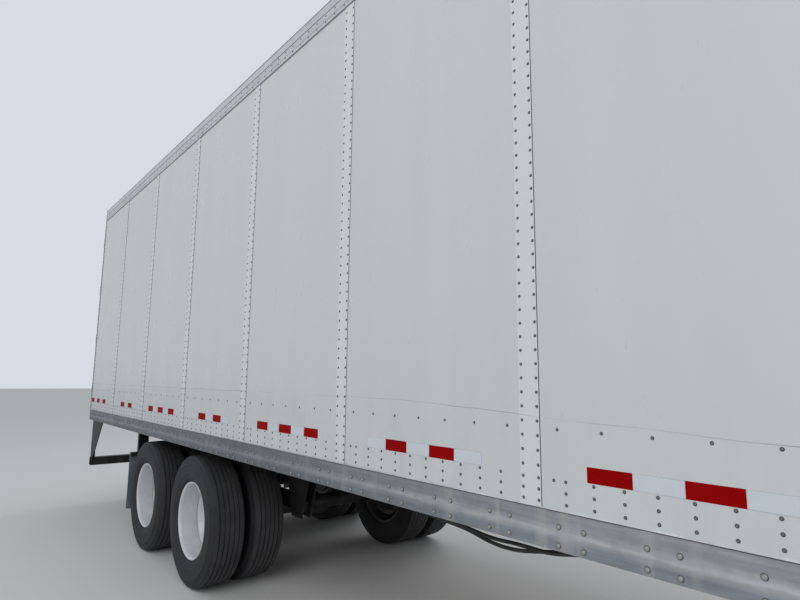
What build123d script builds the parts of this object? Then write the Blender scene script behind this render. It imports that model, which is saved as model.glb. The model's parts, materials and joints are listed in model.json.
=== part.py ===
from build123d import *
from math import pi, radians, tan
import os

# Enclosed box semi trailer, 53 ft class, two dual-tyre axles, two rear swing doors.
# Millimetres. +X points to the front, +Y to the left, +Z up. The origin lies on the
# ground below the middle of the body. Stations along the body are counted from the
# rear edge by at(), and levels are heights above the ground.

os.makedirs("parts", exist_ok=True)

# Overall size
length = 16154.0
width = 2591.0
halfWidth = width / 2
rearX = -length / 2
frontX = length / 2
endProud = 50.0        # how far buffers, lock handles and the front box stand out
seat = 0.3             # running distance between a carried piece and its seat


def at(station):
    return rearX + station


# Levels
railBottom = 1081.0
railFace = 135.0
railTop = railBottom + railFace
topRailFace = 149.0
roofTop = 3978.0
topRailBottom = roofTop - topRailFace
capRise = 10.0

# Side wall
wallSetback = 4.0
panelThick = 8.0
panelOuter = halfWidth - wallSetback
panelInner = panelOuter - panelThick
panelPitch = 1219.2
seamOne = 1226.2
panelJoint = 1.0
panelTuck = 80.0
rearStrip = 30.0
cornerLeg = 290.0
cornerRadius = 130.0
stripWidth = 88.0
stripThick = 2.0
spliceWidth = 60.0
spliceThick = 3.0

# Deck
railFoot = 8.0
railFootReach = 75.0
railWeb = 8.0
ledgeDepth = 14.0
scuffThick = 5.0
scuffTop = railTop + 119.0
beamPitch = 304.8
beamHeight = 108.0
beamWidth = 57.0
beamWeb = 5.0
beamFlange = 7.0
deckThick = 28.0
boardCount = 8
boardJoint = 0.8
beamBottom = railBottom + railFoot
beamTop = beamBottom + beamHeight
deckTop = beamTop + deckThick
scuffInner = panelInner - seat - scuffThick
webInner = halfWidth - railWeb

# Rear frame
postWide = 45.0
postDeep = 100.0
postWall = 5.0
headerTall = 190.0
headerBottom = roofTop - headerTall
sillDeep = 130.0

# Rear doors
doorRecess = 10.0
doorThick = 25.0
doorSide = 6.0
doorMiddle = 8.0
pinBack = 24.0         # hinge pin's distance behind the rear frame
pinInset = 9.0         # hinge pin's distance inside the side of the body
barrelR = 8.0
strapThick = 5.0
strapNear = 14.0
strapTall = 60.0
strapReach = 250.0
hingeCount = 4
rodR = 13.5
rodStand = 30.0
rodPlaces = (300.0, 900.0)

# Rear underride guard
guardBarBottom = 490.0
guardBarTall = 100.0
guardBarDeep = 100.0
guardInset = 40.5
guardHalf = halfWidth - guardInset
guardInnerY = guardHalf - 655.0

# Running gear
tyreR = 508.0
hubZ = tyreR
rearAxleBack = 2616.0
frontAxleBack = 3877.0
rearAxle = at(rearAxleBack)
frontAxle = at(frontAxleBack)
axles = (rearAxle, frontAxle)
tyreInset = 155.5
outerTyreY = halfWidth - tyreInset
dualSpacing = 330.0
mountY = outerTyreY - dualSpacing / 2
tyreTread = 226.0
tyreWide = 276.0
rimR = 285.8
flangeR = 298.5
flangeThick = 12.0
rimWide = 234.0
barrelWall = 9.5
pilotR = 110.0
discThick = 12.0
drumR = 228.0
spindleR = 42.0
spindleGap = 0.3
tubeR = 63.5

# Sliding undercarriage
bodyRailInset = 730.5
bodyRailY = halfWidth - bodyRailInset
bodyRailWide = 90.0
bodyRailTall = 118.0
bodyRailRear = 760.0
bodyRailFront = 7000.0
sliderTall = 100.0
sliderRear = 1800.0
sliderFront = 4760.0
bodyRailBottom = beamBottom - bodyRailTall
sliderBottom = bodyRailBottom - sliderTall

# Coupler, landing gear and front
kingpinBack = 914.0
couplerRear = 1420.0
couplerFront = 120.0
couplerPlate = 10.0
legBack = 3610.0
legY = halfWidth - 415.5


def save(piece, name):
    piece.part.label = name
    export_step(piece.part, f"parts/{name}.step")


# Front corner and rails, which the deck also meets
cornerWall = 6.0
frontRailDeep = 40.0

# Deck: cross beams at one foot, and the boards laid on them
beamSpan = 2 * (webInner - seat)
beamStart = at(sillDeep + 175.0)
couplerStart = frontX - couplerRear
beamCount = int((couplerStart - beamStart) // beamPitch)
beamStations = [beamStart + beamPitch * n for n in range(beamCount + 1)]
beamStations = [x for x in beamStations if x < couplerStart - beamWidth]
recessOut = (beamWidth + beamWeb) / 4
with BuildPart() as crossmembers:
    with BuildSketch(Plane.XZ.offset(-beamSpan / 2)):
        with Locations(*[(x, beamBottom + beamHeight / 2) for x in beamStations]):
            Rectangle(beamWidth, beamHeight)
        recesses = [(x + s * recessOut, beamBottom + beamHeight / 2) for x in beamStations for s in (1, -1)]
        with Locations(*recesses):
            Rectangle((beamWidth - beamWeb) / 2, beamHeight - 2 * beamFlange, mode=Mode.SUBTRACT)
    extrude(amount=beamSpan)
save(crossmembers, "crossmembers")

deckRear = at(sillDeep + seat)
deckFront = frontX - frontRailDeep - 1.0
boardHalf = scuffInner - 2.0
boardPitch = 2 * boardHalf / boardCount
with BuildPart() as floor_deck:
    with BuildSketch(Plane.XY.offset(beamTop)):
        for n in range(boardCount):
            with Locations(((deckRear + deckFront) / 2, boardPitch * (n + 0.5) - boardHalf)):
                Rectangle(deckFront - deckRear, boardPitch - boardJoint)
        with Locations(((deckFront - length / 2) / 2, 0)):
            RectangleRounded(
                deckFront + length / 2, 2 * (halfWidth - cornerWall - 1.0), cornerRadius, mode=Mode.INTERSECT
            )
    extrude(amount=deckThick)
save(floor_deck, "floor_deck")

# Bottom rails: outer face with a proud lower band and a slope up to the upper one, which stands back under
# a lip, foot under the beams, ledge for the wall plates and for the scuff plates behind them
lowerBand = 38.0
bandStep = 3.0
bandSlope = 34.0
lipTall = 4.0
grooveTall = 2.5
grooveDeep = 4.0
bottomRailShape = (
    (halfWidth, railBottom),
    (halfWidth, railBottom + lowerBand),
    (halfWidth - bandStep, railBottom + lowerBand + bandSlope),
    (halfWidth - bandStep, railTop - lipTall - grooveTall),
    (halfWidth - grooveDeep, railTop - lipTall - grooveTall),
    (halfWidth - grooveDeep, railTop - lipTall),
    (halfWidth, railTop - lipTall),
    (halfWidth, railTop),
    (scuffInner, railTop),
    (scuffInner, railTop - ledgeDepth + railWeb),
    (webInner, railTop - ledgeDepth),
    (webInner, beamBottom),
    (halfWidth - railFootReach, beamBottom),
    (halfWidth - railFootReach, railBottom),
)
railRear = at(rearStrip + panelJoint)
railFront = frontX - cornerLeg
with BuildPart() as bottom_rails:
    for side in (1, -1):
        with BuildSketch(Plane.YZ.offset(railRear)):
            with BuildLine():
                Polyline(*[(side * out, up) for out, up in bottomRailShape], close=True)
            make_face()
        extrude(amount=railFront - railRear)
save(bottom_rails, "bottom_rails")

with BuildPart() as scuff_plates:
    with BuildSketch(Plane.XY.offset(railTop)):
        for side in (1, -1):
            with Locations(((railRear + railFront) / 2, side * (scuffInner + scuffThick / 2))):
                Rectangle(railFront - railRear, scuffThick)
    extrude(amount=scuffTop - railTop)
save(scuff_plates, "scuff_plates")

# Top rails: outer face with a sunk middle band, and a flange under the roof sheet
roofSheet = 2.5
topWall = 4.0
topFlange = 30.0
bandTop = 0.40          # sunk band's edges, as shares of the rail's face from the roof down
bandFoot = 0.76
bandSunk = 1.5
edgeLine = 0.09
edgeTall = 2.0
topRailShape = (
    (halfWidth - topWall, topRailBottom),
    (halfWidth, topRailBottom),
    (halfWidth, roofTop - bandFoot * topRailFace),
    (halfWidth - bandSunk, roofTop - bandFoot * topRailFace),
    (halfWidth - bandSunk, roofTop - bandTop * topRailFace),
    (halfWidth, roofTop - bandTop * topRailFace),
    (halfWidth, roofTop - edgeLine * topRailFace),
    (halfWidth - bandSunk, roofTop - edgeLine * topRailFace),
    (halfWidth - bandSunk, roofTop - edgeLine * topRailFace + edgeTall),
    (halfWidth, roofTop - edgeLine * topRailFace + edgeTall),
    (halfWidth, roofTop),
    (halfWidth - 2 * topWall, roofTop),
    (halfWidth - 2 * topWall, roofTop - roofSheet),
    (halfWidth - topWall - topFlange, roofTop - roofSheet),
    (halfWidth - topWall - topFlange, roofTop - roofSheet - topWall),
    (halfWidth - 2 * topWall, roofTop - roofSheet - topWall),
    (halfWidth - topWall, roofTop - roofSheet - 2 * topWall),
)
with BuildPart() as top_rails:
    for side in (1, -1):
        with BuildSketch(Plane.YZ.offset(railRear)):
            with BuildLine():
                Polyline(*[(side * out, up) for out, up in topRailShape], close=True)
            make_face()
        extrude(amount=railFront - railRear)
save(top_rails, "top_rails")

# Side plates, one per 48 inches, with a lap strip outside and a splice inside each seam
panelTop = topRailBottom + panelTuck
seams = [at(seamOne + panelPitch * n) for n in range(30)]
seams = [x for x in seams if x < railFront - stripWidth]
panelEdges = [railRear] + seams + [railFront]
with BuildPart() as side_panels:
    with BuildSketch(Plane.XY.offset(railTop)):
        for x0, x1 in zip(panelEdges, panelEdges[1:]):
            middle = (panelOuter + panelInner) / 2
            with Locations(((x0 + x1) / 2, middle), ((x0 + x1) / 2, -middle)):
                Rectangle(x1 - x0 - panelJoint, panelThick)
    extrude(amount=panelTop - railTop)
save(side_panels, "side_panels")

stripMiddle = panelOuter + stripThick / 2
with BuildPart() as seam_strips:
    with BuildSketch(Plane.XY.offset(railTop)):
        with Locations(*[(x - stripWidth / 2, s * stripMiddle) for x in seams for s in (1, -1)]):
            Rectangle(stripWidth, stripThick)
    extrude(amount=topRailBottom - railTop)
save(seam_strips, "seam_strips")

spliceMiddle = panelInner - spliceThick / 2
with BuildPart() as wall_splices:
    with BuildSketch(Plane.XY.offset(scuffTop + 1.0)):
        with Locations(*[(x - stripWidth / 2, s * spliceMiddle) for x in seams for s in (1, -1)]):
            Rectangle(spliceWidth, spliceThick)
    extrude(amount=panelTop - scuffTop - 1.0)
save(wall_splices, "wall_splices")

# Front: plates between rounded corner posts, held by an upper and a lower rail
with BuildPart() as front_corners:
    for side in (1, -1):
        with BuildSketch(Plane.XY.offset(railBottom)):
            with BuildLine():
                outer = FilletPolyline(
                    (frontX - cornerLeg, side * halfWidth),
                    (frontX, side * halfWidth),
                    (frontX, side * (halfWidth - cornerLeg)),
                    radius=cornerRadius,
                )
                offset(outer, amount=cornerWall, side=Side.RIGHT if side > 0 else Side.LEFT)
            make_face()
        extrude(amount=roofTop - railBottom)
save(front_corners, "front_corners")

frontHalf = halfWidth - cornerLeg
frontLip = 8.0
with BuildPart() as front_rails:
    lower = (railBottom, railTop)
    upper = (topRailBottom, roofTop)
    for low, high in (lower, upper):
        with BuildSketch(Plane.XZ.offset(-frontHalf + seat)):
            with BuildLine():
                Polyline(
                    (frontX, low),
                    (frontX, high),
                    (frontX - frontRailDeep, high),
                    (frontX - frontRailDeep, high - frontLip),
                    (frontX - frontLip, high - frontLip),
                    (frontX - frontLip, low + frontLip),
                    (frontX - frontRailDeep, low + frontLip),
                    (frontX - frontRailDeep, low),
                    close=True,
                )
            make_face()
        extrude(amount=2 * (frontHalf - seat))
save(front_rails, "front_rails")

frontPanels = 3
frontPanelWide = 2 * (frontHalf - seat) / frontPanels
with BuildPart() as front_wall:
    with BuildSketch(Plane.XY.offset(railTop + seat)):
        for n in range(frontPanels):
            y = frontPanelWide * (n + 0.5) - (frontHalf - seat)
            with Locations((frontX - wallSetback - panelThick / 2, y)):
                Rectangle(panelThick, frontPanelWide - panelJoint)
    extrude(amount=topRailBottom - railTop - 2 * seat)
    for n in range(1, frontPanels):
        y = frontPanelWide * n - (frontHalf - seat)
        with BuildSketch(Plane.XY.offset(railTop + seat)):
            with Locations((frontX - wallSetback + stripThick / 2, y)):
                Rectangle(stripThick, stripWidth)
        extrude(amount=topRailBottom - railTop - 2 * seat)
save(front_wall, "front_wall")

# Roof: one sheet on hat-section bows, its front corners rounded inside the corner posts
sheetHalf = halfWidth - 2 * topWall - seat
bowHalf = halfWidth - topWall - topFlange - seat
bowTop = roofTop - roofSheet
bowTall = 30.0
bowBrim = 22.0
bowCrown = 40.0
bowWall = 3.0
bowPitch = 2 * beamPitch
roofRear = at(postDeep + seat)
roofFront = frontX - frontRailDeep - seat
plateFront = frontX - cornerWall - seat
plateHalf = halfWidth - cornerWall - seat
with BuildPart() as roof_sheet:
    with BuildSketch(Plane.XY.offset(bowTop)):
        with Locations(((roofRear + railFront) / 2, 0)):
            Rectangle(railFront - roofRear, 2 * sheetHalf)
        with Locations(((railFront + roofFront) / 2, 0)):
            Rectangle(roofFront - railFront, 2 * frontHalf)
        with BuildSketch(mode=Mode.PRIVATE) as cornerPlates:
            with Locations(*[((railFront + plateFront) / 2, s * (frontHalf + plateHalf) / 2) for s in (1, -1)]):
                Rectangle(plateFront - railFront, plateHalf - frontHalf)
            with Locations((plateFront - cornerLeg, 0)):
                RectangleRounded(2 * cornerLeg, 2 * plateHalf, cornerRadius - cornerWall, mode=Mode.INTERSECT)
        add(cornerPlates.sketch)
    extrude(amount=roofSheet)
save(roof_sheet, "roof_sheet")

bowFrom = at(postDeep + bowPitch)
bowCount = int((railFront - bowFrom) // bowPitch) + 1
bowHalfCrown = bowCrown / 2
with BuildSketch(Plane.XZ.offset(-bowHalf)) as bowShape:
    with BuildLine():
        Polyline(
            (-bowHalfCrown - bowBrim, 0),
            (bowHalfCrown + bowBrim, 0),
            (bowHalfCrown + bowBrim, -bowWall),
            (bowHalfCrown, -bowWall),
            (bowHalfCrown - bowWall, -bowTall),
            (bowWall - bowHalfCrown, -bowTall),
            (-bowHalfCrown, -bowWall),
            (-bowHalfCrown - bowBrim, -bowWall),
            close=True,
        )
    make_face()
with BuildPart() as roof_bows:
    with BuildSketch(Plane.XZ.offset(-bowHalf)):
        with Locations(*[(bowFrom + bowPitch * n, bowTop) for n in range(bowCount)]):
            add(bowShape.sketch_local)
    extrude(amount=2 * bowHalf)
save(roof_bows, "roof_bows")

# Rear frame: channel posts, header and sill, with the corner caps on the header
frameGap = 1.0
postOuter = halfWidth - frameGap
postBehind = scuffInner - seat
postInner = halfWidth - postWide
plate = 8.0
postShape = (
    (0, postInner),
    (0, postOuter),
    (rearStrip, postOuter),
    (rearStrip, postBehind),
    (postDeep, postBehind),
    (postDeep, postBehind - postWall),
    (postWall, postBehind - postWall),
    (postWall, postInner + postWall),
    (postDeep, postInner + postWall),
    (postDeep, postInner),
)
with BuildPart() as rear_posts:
    for side in (1, -1):
        with BuildSketch(Plane.XY.offset(deckTop)):
            with BuildLine():
                Polyline(*[(at(x), side * out) for x, out in postShape], close=True)
            make_face()
        extrude(amount=headerBottom - deckTop)
save(rear_posts, "rear_posts")

headerHalf = halfWidth - topWall - topFlange - frameGap
idLampZ = headerBottom + headerTall / 2
with BuildPart() as rear_header:
    with BuildSketch(Plane.XZ.offset(-headerHalf)):
        with Locations((at(postDeep / 2), idLampZ)):
            Rectangle(postDeep, headerTall)
        with Locations((at(postDeep / 2 + plate / 2), idLampZ)):
            Rectangle(postDeep - plate, headerTall - 2 * plate, mode=Mode.SUBTRACT)
    extrude(amount=2 * headerHalf)
    for side in (1, -1):
        with BuildSketch(Plane.XY.offset(headerBottom)):
            with Locations((at(rearStrip / 2), side * (headerHalf + postOuter) / 2)):
                Rectangle(rearStrip, postOuter - headerHalf)
        extrude(amount=headerTall + capRise)
save(rear_header, "rear_header")

sillHalf = halfWidth - railFootReach - frameGap
sillTall = deckTop - railBottom
sillMiddle = railBottom + sillTall / 2
with BuildPart() as rear_sill:
    with BuildSketch(Plane.XZ.offset(-sillHalf)):
        with Locations((at(sillDeep / 2), sillMiddle)):
            Rectangle(sillDeep, sillTall)
        with Locations((at(sillDeep / 2 + plate / 2), sillMiddle)):
            Rectangle(sillDeep - plate, sillTall - 2 * plate, mode=Mode.SUBTRACT)
    extrude(amount=2 * sillHalf)
    for side in (1, -1):
        with BuildSketch(Plane.XY.offset(railBottom)):
            with Locations((at(rearStrip / 2), side * (sillHalf + postOuter) / 2)):
                Rectangle(rearStrip, postOuter - sillHalf)
        extrude(amount=sillTall)
save(rear_sill, "rear_sill")

bufferTall = 56.0
bufferWide = 120.0
bufferInset = 5.0
bufferY = guardHalf - bufferInset - bufferWide / 2
with BuildPart() as dock_buffers:
    with BuildSketch(Plane.YZ.offset(at(-endProud))):
        with Locations((bufferY, railBottom + bufferTall / 2), (-bufferY, railBottom + bufferTall / 2)):
            RectangleRounded(bufferWide, bufferTall, 10)
    extrude(amount=endProud)
save(dock_buffers, "dock_buffers")

# Underride guard: bar, tapered outer gussets with a rear flange, inner posts
gussetThick = 10.0
gussetY = guardHalf - 1.5 * gussetThick
gussetFlange = 46.0
barX = 20.0
gussetShape = (
    (5, railBottom),
    (560, railBottom),
    (230, 700),
    (barX + guardBarDeep, guardBarBottom + guardBarTall),
    (barX, guardBarBottom + guardBarTall),
    (5, 700),
)
guardWall = 6.0
innerPostWide = 130.0
innerPostDeep = 60.0
with BuildPart() as rear_guard:
    with BuildSketch(Plane.XZ.offset(-guardHalf)):
        with Locations((at(barX + guardBarDeep / 2), guardBarBottom + guardBarTall / 2)):
            Rectangle(guardBarDeep, guardBarTall)
            Rectangle(guardBarDeep - 2 * guardWall, guardBarTall - 2 * guardWall, mode=Mode.SUBTRACT)
    extrude(amount=2 * guardHalf)
    for side in (1, -1):
        with BuildSketch(Plane.XZ.offset(-side * gussetY)):
            with BuildLine():
                Polyline(*[(at(x), z) for x, z in gussetShape], close=True)
            make_face()
        extrude(amount=gussetThick / 2, both=True)
    flangeAt = gussetY - gussetFlange / 2
    guardTop = guardBarBottom + guardBarTall
    with BuildSketch(Plane.XY.offset(guardTop)):
        with Locations((at(barX + 4), flangeAt), (at(barX + 4), -flangeAt)):
            Rectangle(8, gussetFlange)
        with Locations((at(barX + 40), guardInnerY), (at(barX + 40), -guardInnerY)):
            Rectangle(innerPostDeep, innerPostWide)
        with Locations((at(barX + 46), guardInnerY), (at(barX + 46), -guardInnerY)):
            Rectangle(innerPostDeep - 12, innerPostWide - 16, mode=Mode.SUBTRACT)
    extrude(amount=railBottom - guardTop)
save(rear_guard, "rear_guard")

# Rear doors: one plate each, hung on outside hinges, with two lock rods each
pinX = at(-pinBack)
pinY = halfWidth - pinInset
doorOuterX = at(doorRecess)
doorEdge = postInner - doorSide
doorLow = deckTop + doorSide
doorHigh = headerBottom - doorSide
hingeLow = deckTop + 260.0
hingeStep = (headerBottom - 260.0 - hingeLow) / (hingeCount - 1)
hingeLevels = [hingeLow + hingeStep * n for n in range(hingeCount)]
hingePinR = 4.0
knuckleTall = 25.0
knuckleGap = 1.0
footNear = pinY - doorEdge + doorSide
rodX = doorOuterX - rodStand
rodLow = deckTop - 65.0
rodHigh = headerBottom + 72.0
camWide = 40.0
camTall = 30.0
guideLevels = (deckTop + 60.0, deckTop + 900.0, deckTop + 1750.0, headerBottom - 60.0)
handleLevels = (deckTop + 420.0, deckTop + 520.0)
handleLong = 230.0
handleTall = 32.0
handleFace = at(-endProud + 4.0)

for side, hand in ((1, "left"), (-1, "right")):
    with BuildPart() as door_panel:
        with BuildSketch(Plane.YZ.offset(doorOuterX)):
            with Locations((side * (doorEdge + doorMiddle / 2) / 2, (doorLow + doorHigh) / 2)):
                Rectangle(doorEdge - doorMiddle / 2, doorHigh - doorLow)
        extrude(amount=doorThick)
    save(door_panel, f"door_{hand}_panel")

    with BuildPart() as door_straps:
        for z in hingeLevels:
            with BuildSketch(Plane.XY.offset(z - strapTall / 2)):
                with Locations((pinX, side * pinY)):
                    Circle(barrelR)
                neck = strapNear + strapThick
                with Locations((pinX + neck / 2, side * pinY)):
                    Rectangle(neck, barrelR)
                with Locations((pinX + strapNear + strapThick / 2, side * (pinY - strapReach / 2))):
                    Rectangle(strapThick, strapReach)
                footDeep = doorOuterX - pinX - strapNear
                with Locations(
                    (doorOuterX - footDeep / 2, side * (pinY - (footNear + strapReach) / 2))
                ):
                    Rectangle(footDeep, strapReach - footNear)
                with Locations((pinX, side * pinY)):
                    Circle(hingePinR + seat, mode=Mode.SUBTRACT)
            extrude(amount=strapTall)
    save(door_straps, f"door_{hand}_straps")

    rodYs = [side * (pinY - place) for place in rodPlaces]
    with BuildPart() as door_rods:
        with BuildSketch(Plane.XY.offset(rodLow)):
            with Locations(*[(rodX, y) for y in rodYs]):
                Circle(rodR)
        extrude(amount=rodHigh - rodLow)
        for z in guideLevels:
            with BuildSketch(Plane.XY.offset(z - 20)):
                with Locations(*[((rodX - rodR - 3 + doorOuterX) / 2, y) for y in rodYs]):
                    Rectangle(doorOuterX - rodX + rodR + 3, 50)
            extrude(amount=40)
        for z in (rodLow, rodHigh - camTall):
            with BuildSketch(Plane.XY.offset(z)):
                with Locations(*[(rodX - 3, y) for y in rodYs]):
                    Rectangle(18, camWide)
            extrude(amount=camTall)
        for y, z, turn in zip(rodYs, handleLevels, (-side, side)):
            with BuildSketch(Plane.XY.offset(z)):
                with Locations(((handleFace + rodX) / 2, y + turn * 10)):
                    Rectangle(rodX - handleFace, 50)
                with Locations((handleFace + 4, y + turn * handleLong / 2)):
                    Rectangle(8, handleLong)
            extrude(amount=handleTall)
    save(door_rods, f"door_{hand}_rods")

with BuildPart() as frame_hinges:
    for z in hingeLevels:
        for low in (z - strapTall / 2 - knuckleGap - knuckleTall, z + strapTall / 2 + knuckleGap):
            with BuildSketch(Plane.XY.offset(low)):
                with Locations((pinX, pinY), (pinX, -pinY)):
                    Circle(barrelR)
                with Locations((at(-pinBack / 2), pinY), (at(-pinBack / 2), -pinY)):
                    Rectangle(pinBack, 2 * barrelR)
            extrude(amount=knuckleTall)
        with BuildSketch(Plane.XY.offset(z - strapTall / 2 - knuckleGap)):
            with Locations((pinX, pinY), (pinX, -pinY)):
                Circle(hingePinR)
        extrude(amount=strapTall + 2 * knuckleGap)
save(frame_hinges, "frame_hinges")

keeperGap = 10.0
keeperWide = 8.0
keeperOut = camWide / 2 + keeperGap + keeperWide / 2
keeperYs = [s * (pinY - p) + e * keeperOut for p in rodPlaces for s in (1, -1) for e in (1, -1)]
with BuildPart() as lock_keepers:
    for z in (rodLow, rodHigh - camTall):
        with BuildSketch(Plane.XY.offset(z)):
            with Locations(*[(at(-15), y) for y in keeperYs]):
                Rectangle(30, keeperWide)
        extrude(amount=camTall)
save(lock_keepers, "lock_keepers")

# Upper coupler plate with its ribs, and the kingpin, whose flange lies on the plate
couplerUnder = railBottom + 5.0
couplerHalf = halfWidth - railFootReach - 5.0
ribWide = 60.0
ribCount = 5
couplerLong = couplerRear - couplerFront
couplerTop = couplerUnder + couplerPlate
kingpinX = frontX - kingpinBack
collarR = 35.7
with BuildPart() as upper_coupler:
    with BuildSketch(Plane.XY.offset(couplerUnder)):
        with Locations((frontX - (couplerRear + couplerFront) / 2, 0)):
            Rectangle(couplerLong, 2 * couplerHalf)
    extrude(amount=couplerPlate)
    with BuildSketch(Plane.XY.offset(couplerTop)):
        for n in range(ribCount):
            step = (couplerLong - ribWide) / (ribCount - 1)
            with Locations((frontX - couplerRear + ribWide / 2 + step * n, 0)):
                Rectangle(ribWide, 2 * couplerHalf)
    extrude(amount=beamTop - couplerTop)
    with BuildSketch(Plane.XY.offset(couplerUnder)):
        with Locations((kingpinX, 0)):
            Circle(collarR + seat)
    extrude(amount=couplerPlate, mode=Mode.SUBTRACT)
save(upper_coupler, "upper_coupler")

neckR = 25.4
neckTall = 31.0
collarTall = 17.5
shoulderTall = 36.0
pinFlangeR = 75.0
pinFlangeThick = 12.0
with BuildPart() as kingpin:
    with BuildSketch(Plane.XZ):
        with BuildLine():
            Polyline(
                (0, couplerTop + pinFlangeThick),
                (pinFlangeR, couplerTop + pinFlangeThick),
                (pinFlangeR, couplerTop),
                (collarR, couplerTop),
                (collarR, couplerUnder - shoulderTall),
                (neckR, couplerUnder - shoulderTall),
                (neckR, couplerUnder - shoulderTall - neckTall),
                (collarR, couplerUnder - shoulderTall - neckTall),
                (collarR, couplerUnder - shoulderTall - neckTall - collarTall),
                (0, couplerUnder - shoulderTall - neckTall - collarTall),
                close=True,
            )
        make_face()
    revolve(axis=Axis.Z)
kingpin.part.position = (kingpinX, 0, 0)
save(kingpin, "kingpin")

# Landing gear: outer tubes, inner tubes with their shoes, bracing and the crank shaft
legX = frontX - legBack
legTube = 130.0
legInnerTube = 105.0
legTubeBottom = 400.0
shoeLong = 260.0
shoeWide = 240.0
shoeThick = 14.0
ankleTall = 70.0
with BuildPart() as landing_legs:
    with BuildSketch(Plane.XY.offset(legTubeBottom)):
        with Locations((legX, legY), (legX, -legY)):
            Rectangle(legTube, legTube)
    extrude(amount=beamBottom - legTubeBottom)
save(landing_legs, "landing_legs")

with BuildPart() as landing_feet:
    with BuildSketch(Plane.XY):
        with Locations((legX, legY), (legX, -legY)):
            Rectangle(shoeLong, shoeWide)
    extrude(amount=shoeThick)
    for side in (1, -1):
        with BuildSketch(Plane.XZ.offset(-side * legY)):
            with BuildLine():
                Polyline(
                    (legX - 90, shoeThick),
                    (legX + 90, shoeThick),
                    (legX + 50, shoeThick + ankleTall),
                    (legX - 50, shoeThick + ankleTall),
                    close=True,
                )
            make_face()
        extrude(amount=legInnerTube / 2 + 12, both=True)
    with BuildSketch(Plane.XY.offset(shoeThick + ankleTall)):
        with Locations((legX, legY), (legX, -legY)):
            Rectangle(legInnerTube, legInnerTube)
    extrude(amount=legTubeBottom - seat - shoeThick - ankleTall)
save(landing_feet, "landing_feet")

braceThick = 10.0
braceWide = 70.0
legFace = legY - legTube / 2
crossZ = 600.0
braceReach = 560.0
with BuildPart() as landing_braces:
    with BuildSketch(Plane.XZ.offset(-legFace)):
        with Locations((legX, crossZ)):
            Rectangle(braceWide, braceWide)
        with Locations((legX + 8, crossZ)):
            Rectangle(braceWide - 8, braceWide - 16, mode=Mode.SUBTRACT)
    extrude(amount=2 * legFace)
    for side in (1, -1):
        with BuildSketch(Plane.YZ.offset(legX - braceWide / 2)):
            with BuildLine():
                Polyline(
                    (side * legFace, crossZ + 35),
                    (side * (legFace - braceReach - 60), beamBottom),
                    (side * (legFace - braceReach + 40), beamBottom),
                    (side * legFace, crossZ + 125),
                    close=True,
                )
            make_face()
        extrude(amount=braceThick)
        rearFace = legX - legTube / 2
        with BuildSketch(Plane.XZ.offset(-side * legY)):
            with BuildLine():
                Polyline(
                    (rearFace, crossZ + 20),
                    (rearFace - braceReach - 60, beamBottom),
                    (rearFace - braceReach + 40, beamBottom),
                    (rearFace, crossZ + 110),
                    close=True,
                )
            make_face()
        extrude(amount=braceThick / 2, both=True)
save(landing_braces, "landing_braces")

shaftR = 14.0
shaftZ = 800.0
gearboxWide = 60.0
crankOut = 95.0
crankDrop = 260.0
legOuterFace = legY + legTube / 2
with BuildPart() as landing_crank:
    with BuildSketch(Plane.XZ.offset(-(legFace - seat))):
        with Locations((legX, shaftZ)):
            Circle(shaftR)
    extrude(amount=2 * (legFace - seat))
    with BuildSketch(Plane.XZ.offset(-legOuterFace)):
        with Locations((legX, shaftZ)):
            RectangleRounded(legTube, 170, 12)
    extrude(amount=-gearboxWide)
    with BuildSketch(Plane.XZ.offset(-legOuterFace - gearboxWide)):
        with Locations((legX, shaftZ)):
            Circle(shaftR)
    extrude(amount=-crankOut)
    with BuildSketch(Plane.XY.offset(shaftZ - crankDrop)):
        with Locations((legX, legOuterFace + gearboxWide + crankOut - 12)):
            Rectangle(22, 22)
    extrude(amount=crankDrop)
save(landing_crank, "landing_crank")

# Undercarriage rails: fixed body rails, and the sliding frame pinned below them
railWall = 9.0
with BuildPart() as body_rails:
    with BuildSketch(Plane.YZ.offset(at(bodyRailRear))):
        for side in (1, -1):
            with Locations((side * bodyRailY, bodyRailBottom + bodyRailTall / 2)):
                Rectangle(bodyRailWide, bodyRailTall)
            with Locations((side * (bodyRailY - railWall), bodyRailBottom + bodyRailTall / 2)):
                Rectangle(bodyRailWide, bodyRailTall - 2 * railWall, mode=Mode.SUBTRACT)
    extrude(amount=bodyRailFront - bodyRailRear)
save(body_rails, "body_rails")

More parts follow.
